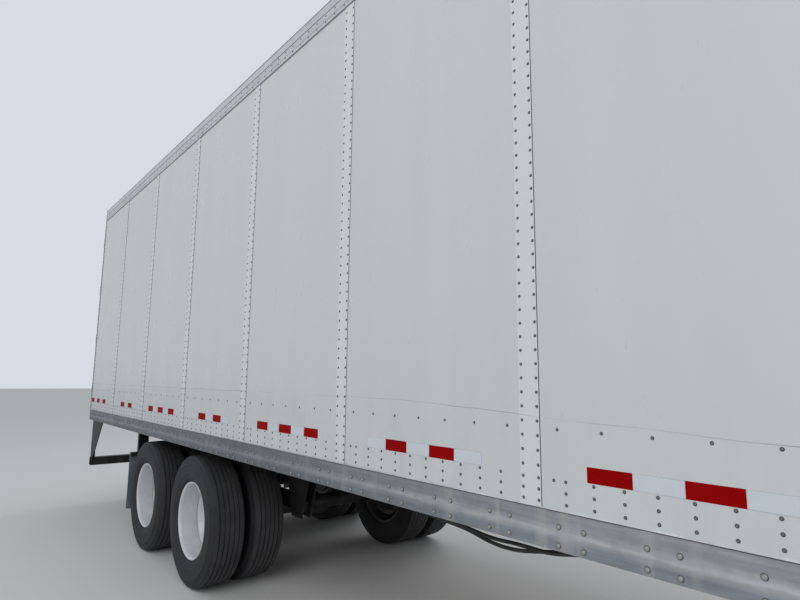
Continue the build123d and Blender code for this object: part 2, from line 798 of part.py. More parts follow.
hangerAhead = 560.0
hangerTopHalf = 175.0
hangerFootHalf = 80.0
hangerFoot = 545.0
hangerWide = 88.0
hangerPlate = 8.0
pivotZ = 628.0
crossStations = (sliderRear + 40, 2280, 3176, 3560, 4437, sliderFront - 40)
flapX = 1900.0
flapBarZ = 800.0
flapOut = halfWidth - 55.5
springBack = 330.0
with BuildPart() as slider_frame:
    with BuildSketch(Plane.YZ.offset(at(sliderRear))):
        for side in (1, -1):
            with Locations((side * bodyRailY, sliderBottom + sliderTall / 2)):
                Rectangle(bodyRailWide, sliderTall)
            with Locations((side * (bodyRailY - railWall), sliderBottom + sliderTall / 2)):
                Rectangle(bodyRailWide, sliderTall - 2 * railWall, mode=Mode.SUBTRACT)
    extrude(amount=sliderFront - sliderRear)
    crossHalf = bodyRailY + bodyRailWide / 2 - railWall
    with BuildSketch(Plane.XZ.offset(-crossHalf)):
        with Locations(*[(at(x), sliderBottom + sliderTall / 2) for x in crossStations]):
            Rectangle(60, sliderTall - 2 * railWall)
    extrude(amount=2 * crossHalf)
    for axleX in axles:
        hangerX = axleX + hangerAhead
        for side in (1, -1):
            with BuildSketch(Plane.XZ.offset(-side * bodyRailY)):
                with BuildLine():
                    Polyline(
                        (hangerX - hangerTopHalf, sliderBottom),
                        (hangerX + hangerTopHalf, sliderBottom),
                        (hangerX + hangerFootHalf, hangerFoot),
                        (hangerX - hangerFootHalf, hangerFoot),
                        close=True,
                    )
                make_face()
            extrude(amount=hangerWide / 2, both=True)
            with BuildSketch(Plane.XY.offset(hangerFoot)):
                with Locations((hangerX - hangerPlate, side * bodyRailY)):
                    Rectangle(2 * hangerTopHalf, hangerWide - 2 * hangerPlate)
            extrude(amount=sliderBottom - hangerFoot - hangerPlate, mode=Mode.SUBTRACT)
    for side in (1, -1):
        with BuildSketch(Plane.XY.offset(flapBarZ)):
            with Locations((at(flapX + 24), side * bodyRailY)):
                Rectangle(40, bodyRailWide)
        extrude(amount=sliderBottom - flapBarZ)
        with BuildSketch(Plane.XY.offset(flapBarZ)):
            with Locations((at(flapX + 24), side * (bodyRailY + flapOut) / 2)):
                Rectangle(40, flapOut - bodyRailY)
        extrude(amount=40)
save(slider_frame, "slider_frame")

flapThick = 8.0
flapIn = flapOut - 600.0
flapLow = 250.0
with BuildPart() as mud_flaps:
    with BuildSketch(Plane.XY.offset(flapLow)):
        for side in (1, -1):
            with Locations((at(flapX), side * (flapIn + flapOut) / 2)):
                Rectangle(flapThick, flapOut - flapIn)
    extrude(amount=flapBarZ + 40 - flapLow)
save(mud_flaps, "mud_flaps")

# Axle: tube, brake shield, spindle, spring seats and brake cam shafts
drumDeep = 223.0
drumBackY = mountY - drumDeep
backPlateY = drumBackY - 22.0
backPlateR = 190.0
spindleEnd = mountY + 95.0
seatTop = 600.0
armWide = 60.0
camBack = 112.0
chamberY = bodyRailY - 235.0
chamberR = 78.0
bracketWide = 70.0
axlePart = {}
with BuildPart() as axle_beams:
    for axleX in axles:
        with BuildSketch(Plane.XZ.offset(-backPlateY)):
            with Locations((axleX, hubZ)):
                Circle(tubeR)
        extrude(amount=2 * backPlateY)
        with BuildSketch(Plane.XZ.offset(-spindleEnd)):
            with Locations((axleX, hubZ)):
                Circle(spindleR)
        extrude(amount=2 * spindleEnd)
        for side in (1, -1):
            with BuildSketch(Plane.XZ.offset(-side * backPlateY)):
                with Locations((axleX, hubZ)):
                    Circle(backPlateR)
            extrude(amount=-side * 10)
            with BuildSketch(Plane.XZ.offset(-side * bodyRailY)):
                with Locations((axleX, (hubZ + seatTop) / 2)):
                    Rectangle(140, seatTop - hubZ)
            extrude(amount=armWide / 2, both=True)
            with BuildSketch(Plane.XZ.offset(-side * chamberY)):
                with Locations((axleX - camBack / 2, hubZ + 30)):
                    Rectangle(camBack, 130)
            extrude(amount=bracketWide / 2, both=True)
            with BuildSketch(Plane.XZ.offset(-side * chamberY)):
                with Locations((axleX - camBack + 25, hubZ)):
                    Circle(20)
            extrude(amount=-side * (backPlateY - chamberY))
save(axle_beams, "axle_beams")

chamberLong = 170.0
with BuildPart() as brake_chambers:
    for axleX in axles:
        with BuildSketch(Plane.YZ.offset(axleX - camBack)):
            with Locations((chamberY, hubZ + 40), (-chamberY, hubZ + 40)):
                Circle(chamberR)
        extrude(amount=-chamberLong)
save(brake_chambers, "brake_chambers")

# Trailing arms on the hangers' pivots, over the axles, with the air springs behind
armEnd = 420.0
armThin = 55.0
armDeep = 95.0
pistonR = 92.0
springR = 128.0
with BuildPart() as trailing_arms:
    for axleX in axles:
        for side in (1, -1):
            hangerX = axleX + hangerAhead
            with BuildSketch(Plane.XZ.offset(-side * bodyRailY)):
                with BuildLine():
                    Polyline(
                        (hangerX + 55, pivotZ - 40),
                        (hangerX + 55, pivotZ + 40),
                        (axleX + 150, seatTop + armDeep),
                        (axleX - 150, seatTop + armDeep),
                        (axleX - springBack + pistonR + 8, seatTop + armThin),
                        (axleX - armEnd, seatTop + armThin),
                        (axleX - armEnd, seatTop + 15),
                        (axleX - 150, seatTop),
                        (axleX + 150, seatTop),
                        (hangerX - 55, pivotZ - 40),
                        close=True,
                    )
                make_face()
            extrude(amount=armWide / 2, both=True)
save(trailing_arms, "trailing_arms")

springY = bodyRailY - 45.0
springLow = seatTop + armThin
springTall = sliderBottom - springLow
with BuildPart() as air_springs:
    with BuildSketch(Plane.XZ) as springShape:
        with BuildLine():
            Polyline(
                (0, springLow),
                (pistonR, springLow),
                (pistonR, springLow + 0.35 * springTall),
                (springR, springLow + 0.5 * springTall),
                (springR, springLow + 0.85 * springTall),
                (pistonR + 10, sliderBottom),
                (0, sliderBottom),
                close=True,
            )
        make_face()
    springSolid = revolve(axis=Axis.Z, mode=Mode.PRIVATE)
    with Locations(*[(x - springBack, s * springY, 0) for x in axles for s in (1, -1)]):
        add(springSolid)
save(air_springs, "air_springs")

tankX = at(5200.0)
tankR = 115.0
tankHalf = bodyRailY - 235.0
tankZ = 945.0
with BuildPart() as air_tank:
    with BuildSketch(Plane.XZ.offset(-tankHalf)):
        with Locations((tankX, tankZ)):
            Circle(tankR)
    extrude(amount=2 * tankHalf)
    with BuildSketch(Plane.XY.offset(tankZ)):
        with Locations((tankX, 200), (tankX, -200)):
            Rectangle(2 * tankR - 40, 40)
    extrude(amount=beamBottom - tankZ)
save(air_tank, "air_tank")

# Wheels: each body has two tyres, two disc wheels and the hub with its brake drum
# Half of the tyre's section, as radius and distance from its middle plane
beadHalf = rimWide / 2 - flangeThick - 0.5
tyreHalf = (
    (rimR + seat, beadHalf),
    (flangeR + 6, beadHalf),
    ((rimR + tyreR) / 2, tyreWide / 2),
    (tyreR - 30, tyreTread / 2 + 14),
    (tyreR - 5, tyreTread / 2),
    (tyreR, tyreTread / 4),
)
# A disc wheel's section, as radius and distance outward from the plane where the two discs meet
rimStart = dualSpacing / 2 - rimWide / 2
rimEnd = dualSpacing / 2 + rimWide / 2
dishDeep = 133.0       # from the mounting plane out to where disc and barrel meet
shellR = rimR - barrelWall
hubFlangeR = 168.0
wheelShape = (
    (pilotR, seat),
    (hubFlangeR + 4, seat),
    (hubFlangeR + 34, 16),
    (shellR - 26, dishDeep - 50),
    (shellR - 12, dishDeep - 25),
    (shellR, rimStart + 18),
    (flangeR - 9, rimStart),
    (flangeR, rimStart),
    (flangeR, rimStart + flangeThick),
    (rimR, rimStart + flangeThick),
    (rimR, rimEnd - flangeThick),
    (flangeR, rimEnd - flangeThick),
    (flangeR, rimEnd),
    (flangeR - 9, rimEnd),
    (shellR, rimEnd - 18),
    (shellR - 10, dishDeep),
    (shellR - 20, dishDeep - 10),
    (shellR - 36, dishDeep - 41),
    (hubFlangeR + 26, 30),
    (hubFlangeR - 4, discThick + seat),
    (pilotR, discThick + seat),
)
hubEnd = mountY + 120.0
hubR = 88.0
drumShoulder = 80.0
capR = 72.0
for axleX, place in ((frontAxle, "front"), (rearAxle, "rear")):
    for side, hand in ((1, "left"), (-1, "right")):
        axis = Axis((axleX, 0, hubZ), (0, 1, 0))
        with BuildPart() as tyres:
            for middle in (outerTyreY, outerTyreY - dualSpacing):
                outline = [(r, y) for r, y in tyreHalf] + [(r, -y) for r, y in tyreHalf[::-1]]
                with BuildSketch(Plane.XY.offset(hubZ)):
                    with BuildLine():
                        Polyline(*[(axleX + r, side * middle + y) for r, y in outline], close=True)
                    make_face()
                revolve(axis=axis)
        save(tyres, f"tyres_{place}_{hand}")

        with BuildPart() as rims:
            for way in (1, -1):
                with BuildSketch(Plane.XY.offset(hubZ)):
                    with BuildLine():
                        Polyline(*[(axleX + r, side * (mountY + way * y)) for r, y in wheelShape], close=True)
                    make_face()
                revolve(axis=axis)
        save(rims, f"rims_{place}_{hand}")

        flangeAt = mountY - discThick - 2 * seat
        with BuildPart() as hub:
            with BuildSketch(Plane.XY.offset(hubZ)):
                with BuildLine():
                    Polyline(
                        (axleX + spindleR + spindleGap, side * drumBackY),
                        (axleX + drumR, side * drumBackY),
                        (axleX + drumR, side * (flangeAt - drumShoulder)),
                        (axleX + hubFlangeR - 8, side * flangeAt),
                        (axleX + pilotR - 2, side * flangeAt),
                        (axleX + pilotR - 2, side * (mountY + 20)),
                        (axleX + hubR, side * (mountY + 30)),
                        (axleX + capR, side * hubEnd),
                        (axleX, side * hubEnd),
                        (axleX, side * (spindleEnd + 1)),
                        (axleX + spindleR + spindleGap, side * (spindleEnd + 1)),
                        close=True,
                    )
                make_face()
            revolve(axis=axis)
        save(hub, f"hub_{place}_{hand}")

# Lamps: red ones in the rear frame, amber ones on the rails
lampProud = 6.0
tailLamps = [(s * (halfWidth - y), sillMiddle) for s in (1, -1) for y in (655.5, 515.5)]
idLamps = [(y, idLampZ) for y in (-160.0, 0.0, 160.0)]
cornerLamps = [(s * (halfWidth - 125.5), idLampZ) for s in (1, -1)]
with BuildPart() as lamps_red:
    with BuildSketch(Plane.YZ.offset(at(-lampProud))):
        with Locations(*tailLamps):
            Circle(50)
        with Locations(*idLamps, *cornerLamps):
            Circle(26)
    extrude(amount=lampProud)
save(lamps_red, "lamps_red")

amberX = (600.0, railFront - 120.0)
with BuildPart() as lamps_amber:
    for side in (1, -1):
        with BuildSketch(Plane.XZ.offset(-side * (halfWidth - bandStep))):
            with Locations(*[(x, railBottom + 95) for x in amberX]):
                SlotOverall(90, 30)
        extrude(amount=-side * (lampProud + bandStep))
        with BuildSketch(Plane.XZ.offset(-side * halfWidth)):
            with Locations((railFront - 120, roofTop - 25)):
                SlotOverall(90, 30)
        extrude(amount=-side * lampProud)
save(lamps_amber, "lamps_amber")

# Front service box and couplings on the wall
boxWide = 200.0
boxTall = 150.0
boxZ = 1420.0
wallFace = frontX - wallSetback
with BuildPart() as service_box:
    with BuildSketch(Plane.YZ.offset(wallFace)):
        with Locations((0, boxZ)):
            RectangleRounded(boxWide, boxTall, 16)
        with Locations((200, boxZ), (-200, boxZ)):
            Circle(38)
    extrude(amount=endProud + wallSetback)
save(service_box, "service_box")

# Air hoses hanging from the sliding frame to the body, and their fittings
hoseR = 11.0
hoseLowY = 180.0 - bodyRailY
hoseHighY = 140.0 - bodyRailY
hoseRear = at(sliderFront + 10)
hoseExitZ = sliderBottom + sliderTall / 2
fittingR = 15.0
fittingTall = 20.0
hoseLowBeam = beamStations[24]
hoseHighBeam = beamStations[23]
hoseEndZ = beamBottom - fittingTall
lowerRoute = (
    (hoseRear, hoseLowY, hoseExitZ),
    (at(4880), hoseLowY, hoseExitZ),
    (at(5080), hoseLowY - 6, 893),
    (at(5330), hoseLowY - 12, 838),
    (at(5600), hoseLowY - 8, 792),
    (at(5880), hoseLowY, 768),
    (at(6110), hoseLowY + 6, 752),
    (at(6290), hoseLowY + 8, 712),
    (at(6470), hoseLowY + 6, 710),
    (at(6660), hoseLowY, 750),
    (at(6880), hoseLowY - 5, 792),
    (at(7110), hoseLowY - 3, 812),
    (hoseLowBeam - 278, hoseLowY, 827),
    (hoseLowBeam - 152, hoseLowY, 846),
    (hoseLowBeam - 74, hoseLowY, 889),
    (hoseLowBeam - 23, hoseLowY, 951),
    (hoseLowBeam, hoseLowY, 1014),
    (hoseLowBeam, hoseLowY, hoseEndZ),
)
upperRoute = (
    (hoseRear, hoseHighY, hoseExitZ),
    (at(4890), hoseHighY, hoseExitZ),
    (at(5100), hoseHighY - 6, 904),
    (at(5350), hoseHighY - 10, 864),
    (at(5620), hoseHighY - 8, 826),
    (at(5900), hoseHighY - 4, 797),
    (at(6150), hoseHighY, 776),
    (at(6330), hoseHighY + 4, 753),
    (at(6540), hoseHighY + 2, 766),
    (at(6720), hoseHighY, 760),
    (at(6910), hoseHighY - 2, 800),
    (hoseHighBeam - 274, hoseHighY, 822),
    (hoseHighBeam - 152, hoseHighY, 846),
    (hoseHighBeam - 74, hoseHighY, 889),
    (hoseHighBeam - 23, hoseHighY, 951),
    (hoseHighBeam, hoseHighY, 1014),
    (hoseHighBeam, hoseHighY, hoseEndZ),
)
for name, route in (("hose_lower", lowerRoute), ("hose_upper", upperRoute)):
    points = [Vector(*p) for p in route]
    radii = []
    for before, corner, after in zip(points, points[1:], points[2:]):
        turn = (corner - before).get_angle(after - corner)
        shorter = min((corner - before).length, (after - corner).length)
        radii.append(0.45 * shorter / tan(radians(turn / 2)))
    print(name, "radii", [round(r) for r in radii])
    with BuildPart() as hose:
        with BuildLine() as hosePath:
            FilletPolyline(*points, radius=radii)
        with BuildSketch(Plane(hosePath.line @ 0, z_dir=hosePath.line % 0)):
            Circle(hoseR)
        sweep()
    hoseLong = hosePath.wires()[0].length
    print(name, "length", round(hoseLong), "volume share", hose.part.volume / (hoseLong * pi * hoseR**2))
    save(hose, name)

with BuildPart() as hose_fittings:
    with BuildSketch(Plane.YZ.offset(hoseRear)):
        with Locations((hoseLowY, hoseExitZ), (hoseHighY, hoseExitZ)):
            Circle(fittingR)
    extrude(amount=-20)
    with BuildSketch(Plane.XY.offset(hoseEndZ)):
        with Locations((hoseLowBeam, hoseLowY), (hoseHighBeam, hoseHighY)):
            Circle(fittingR)
    extrude(amount=fittingTall)
save(hose_fittings, "hose_fittings")
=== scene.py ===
import json
import bpy
import numpy as np
from mathutils import Matrix, Vector


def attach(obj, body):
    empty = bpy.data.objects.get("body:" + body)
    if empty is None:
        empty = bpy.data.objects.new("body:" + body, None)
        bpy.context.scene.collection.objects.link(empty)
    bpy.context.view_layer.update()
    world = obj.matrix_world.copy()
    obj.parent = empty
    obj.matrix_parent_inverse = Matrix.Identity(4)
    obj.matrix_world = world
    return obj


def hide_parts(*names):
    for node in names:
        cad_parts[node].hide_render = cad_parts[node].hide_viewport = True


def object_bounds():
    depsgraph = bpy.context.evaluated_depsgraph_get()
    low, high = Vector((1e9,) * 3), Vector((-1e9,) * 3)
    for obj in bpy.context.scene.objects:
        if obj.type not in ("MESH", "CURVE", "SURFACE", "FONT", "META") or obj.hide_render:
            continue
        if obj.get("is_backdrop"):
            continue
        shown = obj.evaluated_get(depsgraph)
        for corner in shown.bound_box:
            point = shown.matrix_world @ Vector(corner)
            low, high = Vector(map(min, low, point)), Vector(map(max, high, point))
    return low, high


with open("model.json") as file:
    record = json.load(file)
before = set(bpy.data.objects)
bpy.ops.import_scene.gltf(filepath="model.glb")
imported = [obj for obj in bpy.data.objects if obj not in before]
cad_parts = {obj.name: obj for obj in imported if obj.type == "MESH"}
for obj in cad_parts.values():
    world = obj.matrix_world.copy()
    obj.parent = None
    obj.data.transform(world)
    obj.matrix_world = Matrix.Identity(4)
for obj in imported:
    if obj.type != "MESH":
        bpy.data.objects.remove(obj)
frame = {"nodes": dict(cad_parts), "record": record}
cadBox = [[float(x) for x in corner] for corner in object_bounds()]
scene = bpy.context.scene

# Driving sizes of the part in metres: X runs forward, Y to the left and Z up from the ground
trailerLong = 16.154
halfWidth = 1.2955
roofTop = 3.978
plateWide = 1.2192  # wall plates of 48 in
rearX, frontX = -trailerLong / 2, trailerLong / 2
wallFace = halfWidth - 0.004  # outer face of the wall plates
stripFace = halfWidth - 0.002  # outer face of the seam strips
doorFace = rearX + 0.01  # rear face of the doors
firstSeam = rearX + 1.2262  # forward edge of the rearmost seam strip
seams = firstSeam + plateWide * np.arange(12)
sides = {"right": -1.0, "left": 1.0}
back, forward, upward = (-1, 0, 0), (1, 0, 0), (0, 0, 1)

# The camera was solved from the picture's seams, rails and wheels; lens in millimetres, angles in radians
camera = {
    "place": (0.47429, -2.96244, 1.64754),
    "yaw": 2.44845,
    "pitch": 0.14253,
    "roll": 0.00883,
    "lens": 24.956,
}


def placeCamera(look):
    # ahead follows from yaw and pitch, level points right along the ground, and the roll turns the picture
    yaw, pitch, roll = look["yaw"], look["pitch"], look["roll"]
    ahead = np.array([np.cos(pitch) * np.cos(yaw), np.cos(pitch) * np.sin(yaw), np.sin(pitch)])
    level = np.array([np.sin(yaw), -np.cos(yaw), 0.0])
    upright = np.cross(level, ahead)
    right = np.cos(roll) * level + np.sin(roll) * upright
    up = -np.sin(roll) * level + np.cos(roll) * upright
    data = bpy.data.cameras.new("viewpoint")
    data.lens = look["lens"]
    data.sensor_width = 36.0
    data.clip_end = 300.0
    made = bpy.data.objects.new("viewpoint", data)
    scene.collection.objects.link(made)
    turned = np.column_stack([right, up, -ahead])
    made.matrix_world = Matrix.Translation(look["place"]) @ Matrix(turned.tolist()).to_4x4()
    scene.camera = made


placeCamera(camera)
print("camera placed")


# Materials: a few node helpers, then one finish for each slot
def addNode(tree, kind, links=None, values=None, **settings):
    # a shader node with its settings, its inputs' values and the outputs linked to its inputs
    made = tree.nodes.new("ShaderNode" + kind)
    for key, value in settings.items():
        setattr(made, key, value)
    for key, value in (values or {}).items():
        made.inputs[key].default_value = value
    for key, source in (links or {}).items():
        tree.links.new(source, made.inputs[key])
    return made


def ranged(tree, value, low=0.0, high=1.0, to=(0.0, 1.0)):
    # what lies between low and high spread over the range given
    values = {"From Min": low, "From Max": high, "To Min": to[0], "To Max": to[1]}
    return addNode(tree, "MapRange", {"Value": value}, values).outputs["Result"]


def cloud(tree, place, scale, low=0.4, high=0.6, stretch=(1, 1, 1), detail=4.0, to=(0.0, 1.0)):
    # noise of one scale in a stretched space, its middle part spread over the range given
    source = addNode(tree, "Mapping", {"Vector": place}, {"Scale": stretch}).outputs["Vector"]
    made = addNode(tree, "TexNoise", {"Vector": source}, {"Scale": scale, "Detail": detail})
    return ranged(tree, made.outputs["Fac"], low, high, to)


def maths(tree, kind, *items):
    # one Math node, each input a number or another node's output
    made = addNode(tree, "Math", operation=kind)
    for index, item in enumerate(items):
        if isinstance(item, (int, float)):
            made.inputs[index].default_value = item
        else:
            tree.links.new(item, made.inputs[index])
    return made.outputs[0]


def times(tree, first, second):
    return maths(tree, "MULTIPLY", first, second)


def plus(tree, first, second):
    return maths(tree, "ADD", first, second)


def mixed(tree, share, first, second, kind="MIX"):
    # the second colour over the first by that share
    made = addNode(tree, "Mix", data_type="RGBA", blend_type=kind)
    for index, item in ((0, share), (6, first), (7, second)):
        if isinstance(item, tuple):
            made.inputs[index].default_value = (*item, 1.0)
        elif isinstance(item, (int, float)):
            made.inputs[index].default_value = item
        else:
            tree.links.new(item, made.inputs[index])
    return made.outputs[2]


def axisOf(tree, place, axis="Z"):
    # one coordinate of the place, the height if no other is asked for
    return addNode(tree, "SeparateXYZ", {"Vector": place}).outputs[axis]


def startMaterial(name, metallic=0.0, coat=0.0, coatRoughness=0.1):
    # a new material with its tree, its shader and the place on the object
    material = bpy.data.materials.new(name)
    material.use_nodes = True
    tree = material.node_tree
    shader = tree.nodes["Principled BSDF"]
    shader.inputs["Metallic"].default_value = metallic
    shader.inputs["Coat Weight"].default_value = coat
    shader.inputs["Coat Roughness"].default_value = coatRoughness
    return material, tree, shader, addNode(tree, "TexCoord").outputs["Object"]


def setLook(tree, shader, colour, roughness, relief, depth, strength):
    # a roughness that is the same all over goes on the shader's own socket
    bump = addNode(tree, "Bump", {"Height": relief}, {"Distance": depth, "Strength": strength})
    tree.links.new(colour, shader.inputs["Base Color"])
    tree.links.new(bump.outputs["Normal"], shader.inputs["Normal"])
    if isinstance(roughness, float):
        shader.inputs["Roughness"].default_value = roughness
    else:
        tree.links.new(roughness, shader.inputs["Roughness"])


def plainFinish(name, look):
    # a colour clouded towards a second, fine grain in roughness and relief, dirt that thins out with height
    material, tree, shader, place = startMaterial(name, look.get("metallic", 0.0), look.get("coat", 0.0))
    shader.inputs["Specular IOR Level"].default_value = look.get("specular", 0.5)
    stretch = look.get("stretch", (1, 1, 1))
    broad = cloud(tree, place, look["broad"], 0.35, 0.65, stretch)
    fine = cloud(tree, place, look["fine"], 0.3, 0.7, stretch, 3.0)
    colour = mixed(tree, broad, look["colour"], look["second"])
    roughness = ranged(tree, fine, to=look["roughness"])
    if "dirt" in look:
        bottom, top = look.get("dirtFrom", (0.2, 1.1))
        patches = cloud(tree, place, look.get("dirtScale", 9.0), 0.42, 0.68, (1, 1, 0.6), 6.0)
        fade = ranged(tree, axisOf(tree, place), bottom, top, (1.0, 0.25))
        share = times(tree, times(tree, patches, fade), look["dirtShare"])
        colour = mixed(tree, share, colour, look["dirt"])
        roughness = plus(tree, roughness, ranged(tree, share, to=(0.0, 0.35)))
    if "inboardShade" in look:
        # painted shade of the wheel well, with brake dust, on what lies nearer the middle of the trailer than
        # the outer wheel's disc
        across = maths(tree, "ABSOLUTE", axisOf(tree, place, "Y"))
        colour = mixed(tree, ranged(tree, across, 0.99, 0.9, (0.0, 0.9)), colour, look["inboardShade"])
    setLook(tree, shader, colour, roughness, fine, 0.0004, look.get("strength", 0.3))
    return material


wallLook = {
    "pale": (0.615, 0.64, 0.65),
    "paler": (0.64, 0.662, 0.668),
    "grime": (0.36, 0.35, 0.33),
    "grimeTop": 1.9,
    "speck": (0.2, 0.19, 0.18),
    "scratch": (0.26, 0.265, 0.28),
    "scratchFalls": (-1.55, -0.1),  # the stations between which it falls, and it is level beyond
    "scratchHeights": (1.558, 1.49),
    "scratchHalf": 0.0014,
    "scratchWander": (-0.004, 0.004),
}


def wallFinish(name, light=1.0):
    # pale painted plate: faint upright rolling streaks, a soft wave, scuffs low down and one long scratch
    look = wallLook
    material, tree, shader, place = startMaterial(name, coat=0.35, coatRoughness=0.12)
    streak = cloud(tree, place, 2.2, 0.25, 0.75, (2.2, 1, 0.1), 1.5)
    first, second = np.array([look["pale"], look["paler"]]) * light
    colour = mixed(tree, streak, tuple(first), tuple(second))
    height = axisOf(tree, place)
    low = ranged(tree, height, 1.2, look["grimeTop"], (1.0, 0.0))
    grime = times(tree, cloud(tree, place, 5.0, 0.48, 0.8, (1.6, 1, 0.35), 7.0), low)
    colour = mixed(tree, times(tree, grime, 0.22), colour, look["grime"])
    specks = addNode(tree, "TexVoronoi", {"Vector": place}, {"Scale": 26.0}, feature="F1").outputs["Distance"]
    speck = times(tree, ranged(tree, specks, 0.05, 0.02), cloud(tree, place, 2.0, 0.52, 0.6))
    colour = mixed(tree, times(tree, speck, 0.4), colour, look["speck"])
    # the scratch is where the height, moved up and down by a slow noise, meets that of the falling line
    fall = ranged(tree, axisOf(tree, place, "X"), *look["scratchFalls"], look["scratchHeights"])
    wander = cloud(tree, place, 1.7, 0.3, 0.7, (1, 1, 0), 2.0, look["scratchWander"])
    near = maths(tree, "COMPARE", plus(tree, height, wander), fall, look["scratchHalf"])
    rightWall = maths(tree, "LESS_THAN", axisOf(tree, place, "Y"), 0.0)
    broken = times(tree, cloud(tree, place, 1.1, 0.36, 0.5, (1, 1, 0.2)), rightWall)
    colour = mixed(tree, times(tree, times(tree, near, broken), 0.7), colour, look["scratch"])
    roughness = ranged(tree, cloud(tree, place, 7.0, 0.3, 0.7, (1, 1, 0.3)), to=(0.26, 0.34))
    roughness = plus(tree, roughness, times(tree, grime, 0.25))
    wave = cloud(tree, place, 0.9, 0.2, 0.8, (1, 1, 0.7), 1.0)
    setLook(tree, shader, colour, roughness, wave, 0.004, 0.35)
    return material


railLook = {
    "dull": (0.47, 0.48, 0.49),
    "bright": (0.56, 0.57, 0.58),
    "stain": (0.7, 0.74, 0.8),  # a share of the dull tone
    "run": (0.68, 0.67, 0.65),
}


def railFinish(name, light=1.0, stained=0.5, matt=0.34):
    # mill aluminium: fine lines along the rail, grey weather stains, and pale runs that stand upright
    material, tree, shader, place = startMaterial(name, metallic=0.75)
    drawn = cloud(tree, place, 60.0, 0.3, 0.7, (0.03, 1, 1), 4.0)
    stains = cloud(tree, place, 6.0, 0.35, 0.7, (1.5, 1, 0.5), 7.0)
    runs = cloud(tree, place, 14.0, 0.5, 0.72, (1.8, 1, 0.12), 5.0)
    first, second = np.array([railLook["dull"], railLook["bright"]]) * light
    colour = mixed(tree, drawn, tuple(first), tuple(second))
    colour = mixed(tree, times(tree, stains, stained), colour, tuple(first * railLook["stain"]))
    colour = mixed(tree, times(tree, runs, 0.3), colour, railLook["run"])
    roughness = ranged(tree, stains, to=(matt, matt + 0.4 * stained))
    setLook(tree, shader, colour, roughness, drawn, 0.0004, 0.2)
    return material


railFace = {
    "foot": 1.081,
    "lip": 1.216,
    # share of the height from foot to lip, and the colour there: painted reflections, highlights and shade of
    # the rail's bands and bends
    "paintedTones": [
        (0.0, (0.31, 0.33, 0.35)),  # dull lower band, made darker and bluer by painted reflection
        (0.06, (0.29, 0.315, 0.345)),
        (0.22, (0.275, 0.305, 0.34)),
        (0.34, (0.4, 0.42, 0.44)),  # painted highlight on the slope
        (0.43, (0.53, 0.545, 0.56)),
        (0.53, (0.46, 0.475, 0.49)),
        (0.63, (0.355, 0.37, 0.39)),  # upper band
        (0.78, (0.34, 0.355, 0.375)),
        (0.86, (0.38, 0.39, 0.41)),
        (0.935, (0.34, 0.345, 0.36)),
        (0.945, (0.06, 0.062, 0.068)),  # painted shadow under the lip, with some dirt
        (0.96, (0.06, 0.062, 0.068)),
        # painted highlight along the lip
        (0.966, (0.86, 0.87, 0.88)),
    ],
    "mottle": (0.22, 0.235, 0.26),
    "run": (0.6, 0.58, 0.53),
    "rearShade": (0.075, 0.08, 0.09),
    "rearShadeGrows": (-0.7, -3.0),  # the stations between which the painted shade towards the rear thickens
    "rearShadeShare": 0.74,
}


def railFaceFinish(name):
    # bottom rail: painted reflections, highlights and shade as tones by height over weathered aluminium, and
    # painted shade that darkens it towards the rear
    material, tree, shader, place = startMaterial(name, metallic=0.6)
    level = axisOf(tree, place)
    wobble = cloud(tree, place, 9.0, 0.2, 0.8, (0.5, 1, 1), 3.0, (-0.004, 0.004))
    height = plus(tree, level, times(tree, wobble, ranged(tree, level, 1.2, 1.17)))
    ramp = addNode(tree, "ValToRGB", {"Fac": ranged(tree, height, railFace["foot"], railFace["lip"])})
    stops = ramp.color_ramp.elements
    while len(stops) < len(railFace["paintedTones"]):
        stops.new(0.5)
    for stop, (spot, tone) in zip(stops, railFace["paintedTones"]):
        stop.position, stop.color = spot, (*tone, 1.0)
    mill = cloud(tree, place, 46.0, 0.3, 0.7, (0.12, 1, 1.6), 5.0, (0.86, 1.1))
    mottle = cloud(tree, place, 26.0, 0.42, 0.66, (0.8, 1, 1.2), 6.0)
    colour = mixed(tree, 1.0, ramp.outputs["Color"], mill, "MULTIPLY")
    colour = mixed(tree, times(tree, mottle, 0.28), colour, railFace["mottle"])
    runs = cloud(tree, place, 9.0, 0.56, 0.7, (1.6, 1, 0.08), 4.0)
    colour = mixed(tree, times(tree, runs, 0.35), colour, railFace["run"])
    # painted shade: the rail darkens towards the rear, for the dark ground it reflects there
    rearShade = ranged(tree, axisOf(tree, place, "X"), *railFace["rearShadeGrows"], (0.0, railFace["rearShadeShare"]))
    film = times(tree, rearShade, cloud(tree, place, 7.0, 0.25, 0.75, (0.4, 1, 1), 4.0, (0.7, 1.0)))
    colour = mixed(tree, film, colour, railFace["rearShade"])
    setLook(tree, shader, colour, ranged(tree, mottle, to=(0.36, 0.5)), mill, 0.0004, 0.3)
    return material


deckLook = {
    "strips": {"Scale": 1.0, "Brick Width": 1.3, "Row Height": 0.032, "Mortar Size": 0.0006},
    "woods": {"Color1": (0.34, 0.19, 0.09, 1), "Color2": (0.48, 0.3, 0.15, 1)},
    "joints": {"Mortar": (0.12, 0.07, 0.04, 1)},
    "grain": (0.22, 0.12, 0.06),
    "wear": (0.34, 0.31, 0.27),
}


def deckFinish(name):
    # laminated hardwood: narrow strips along the boards, each of its own tone, with long grain
    material, tree, shader, place = startMaterial(name, coat=0.1)
    values = {**deckLook["strips"], **deckLook["woods"], **deckLook["joints"]}
    strips = addNode(tree, "TexBrick", {"Vector": place}, values)
    grain = cloud(tree, place, 30.0, 0.3, 0.7, (0.06, 1, 1), 6.0)
    wear = cloud(tree, place, 1.4, 0.4, 0.7, (0.4, 1, 1), 6.0)
    colour = mixed(tree, times(tree, grain, 0.5), strips.outputs["Color"], deckLook["grain"])
    colour = mixed(tree, times(tree, wear, 0.5), colour, deckLook["wear"])
    setLook(tree, shader, colour, ranged(tree, wear, to=(0.45, 0.8)), grain, 0.0006, 0.4)
    return material


zincLook = {"dark": (0.36, 0.37, 0.38), "light": (0.5, 0.51, 0.52), "dirt": (0.34, 0.32, 0.29)}


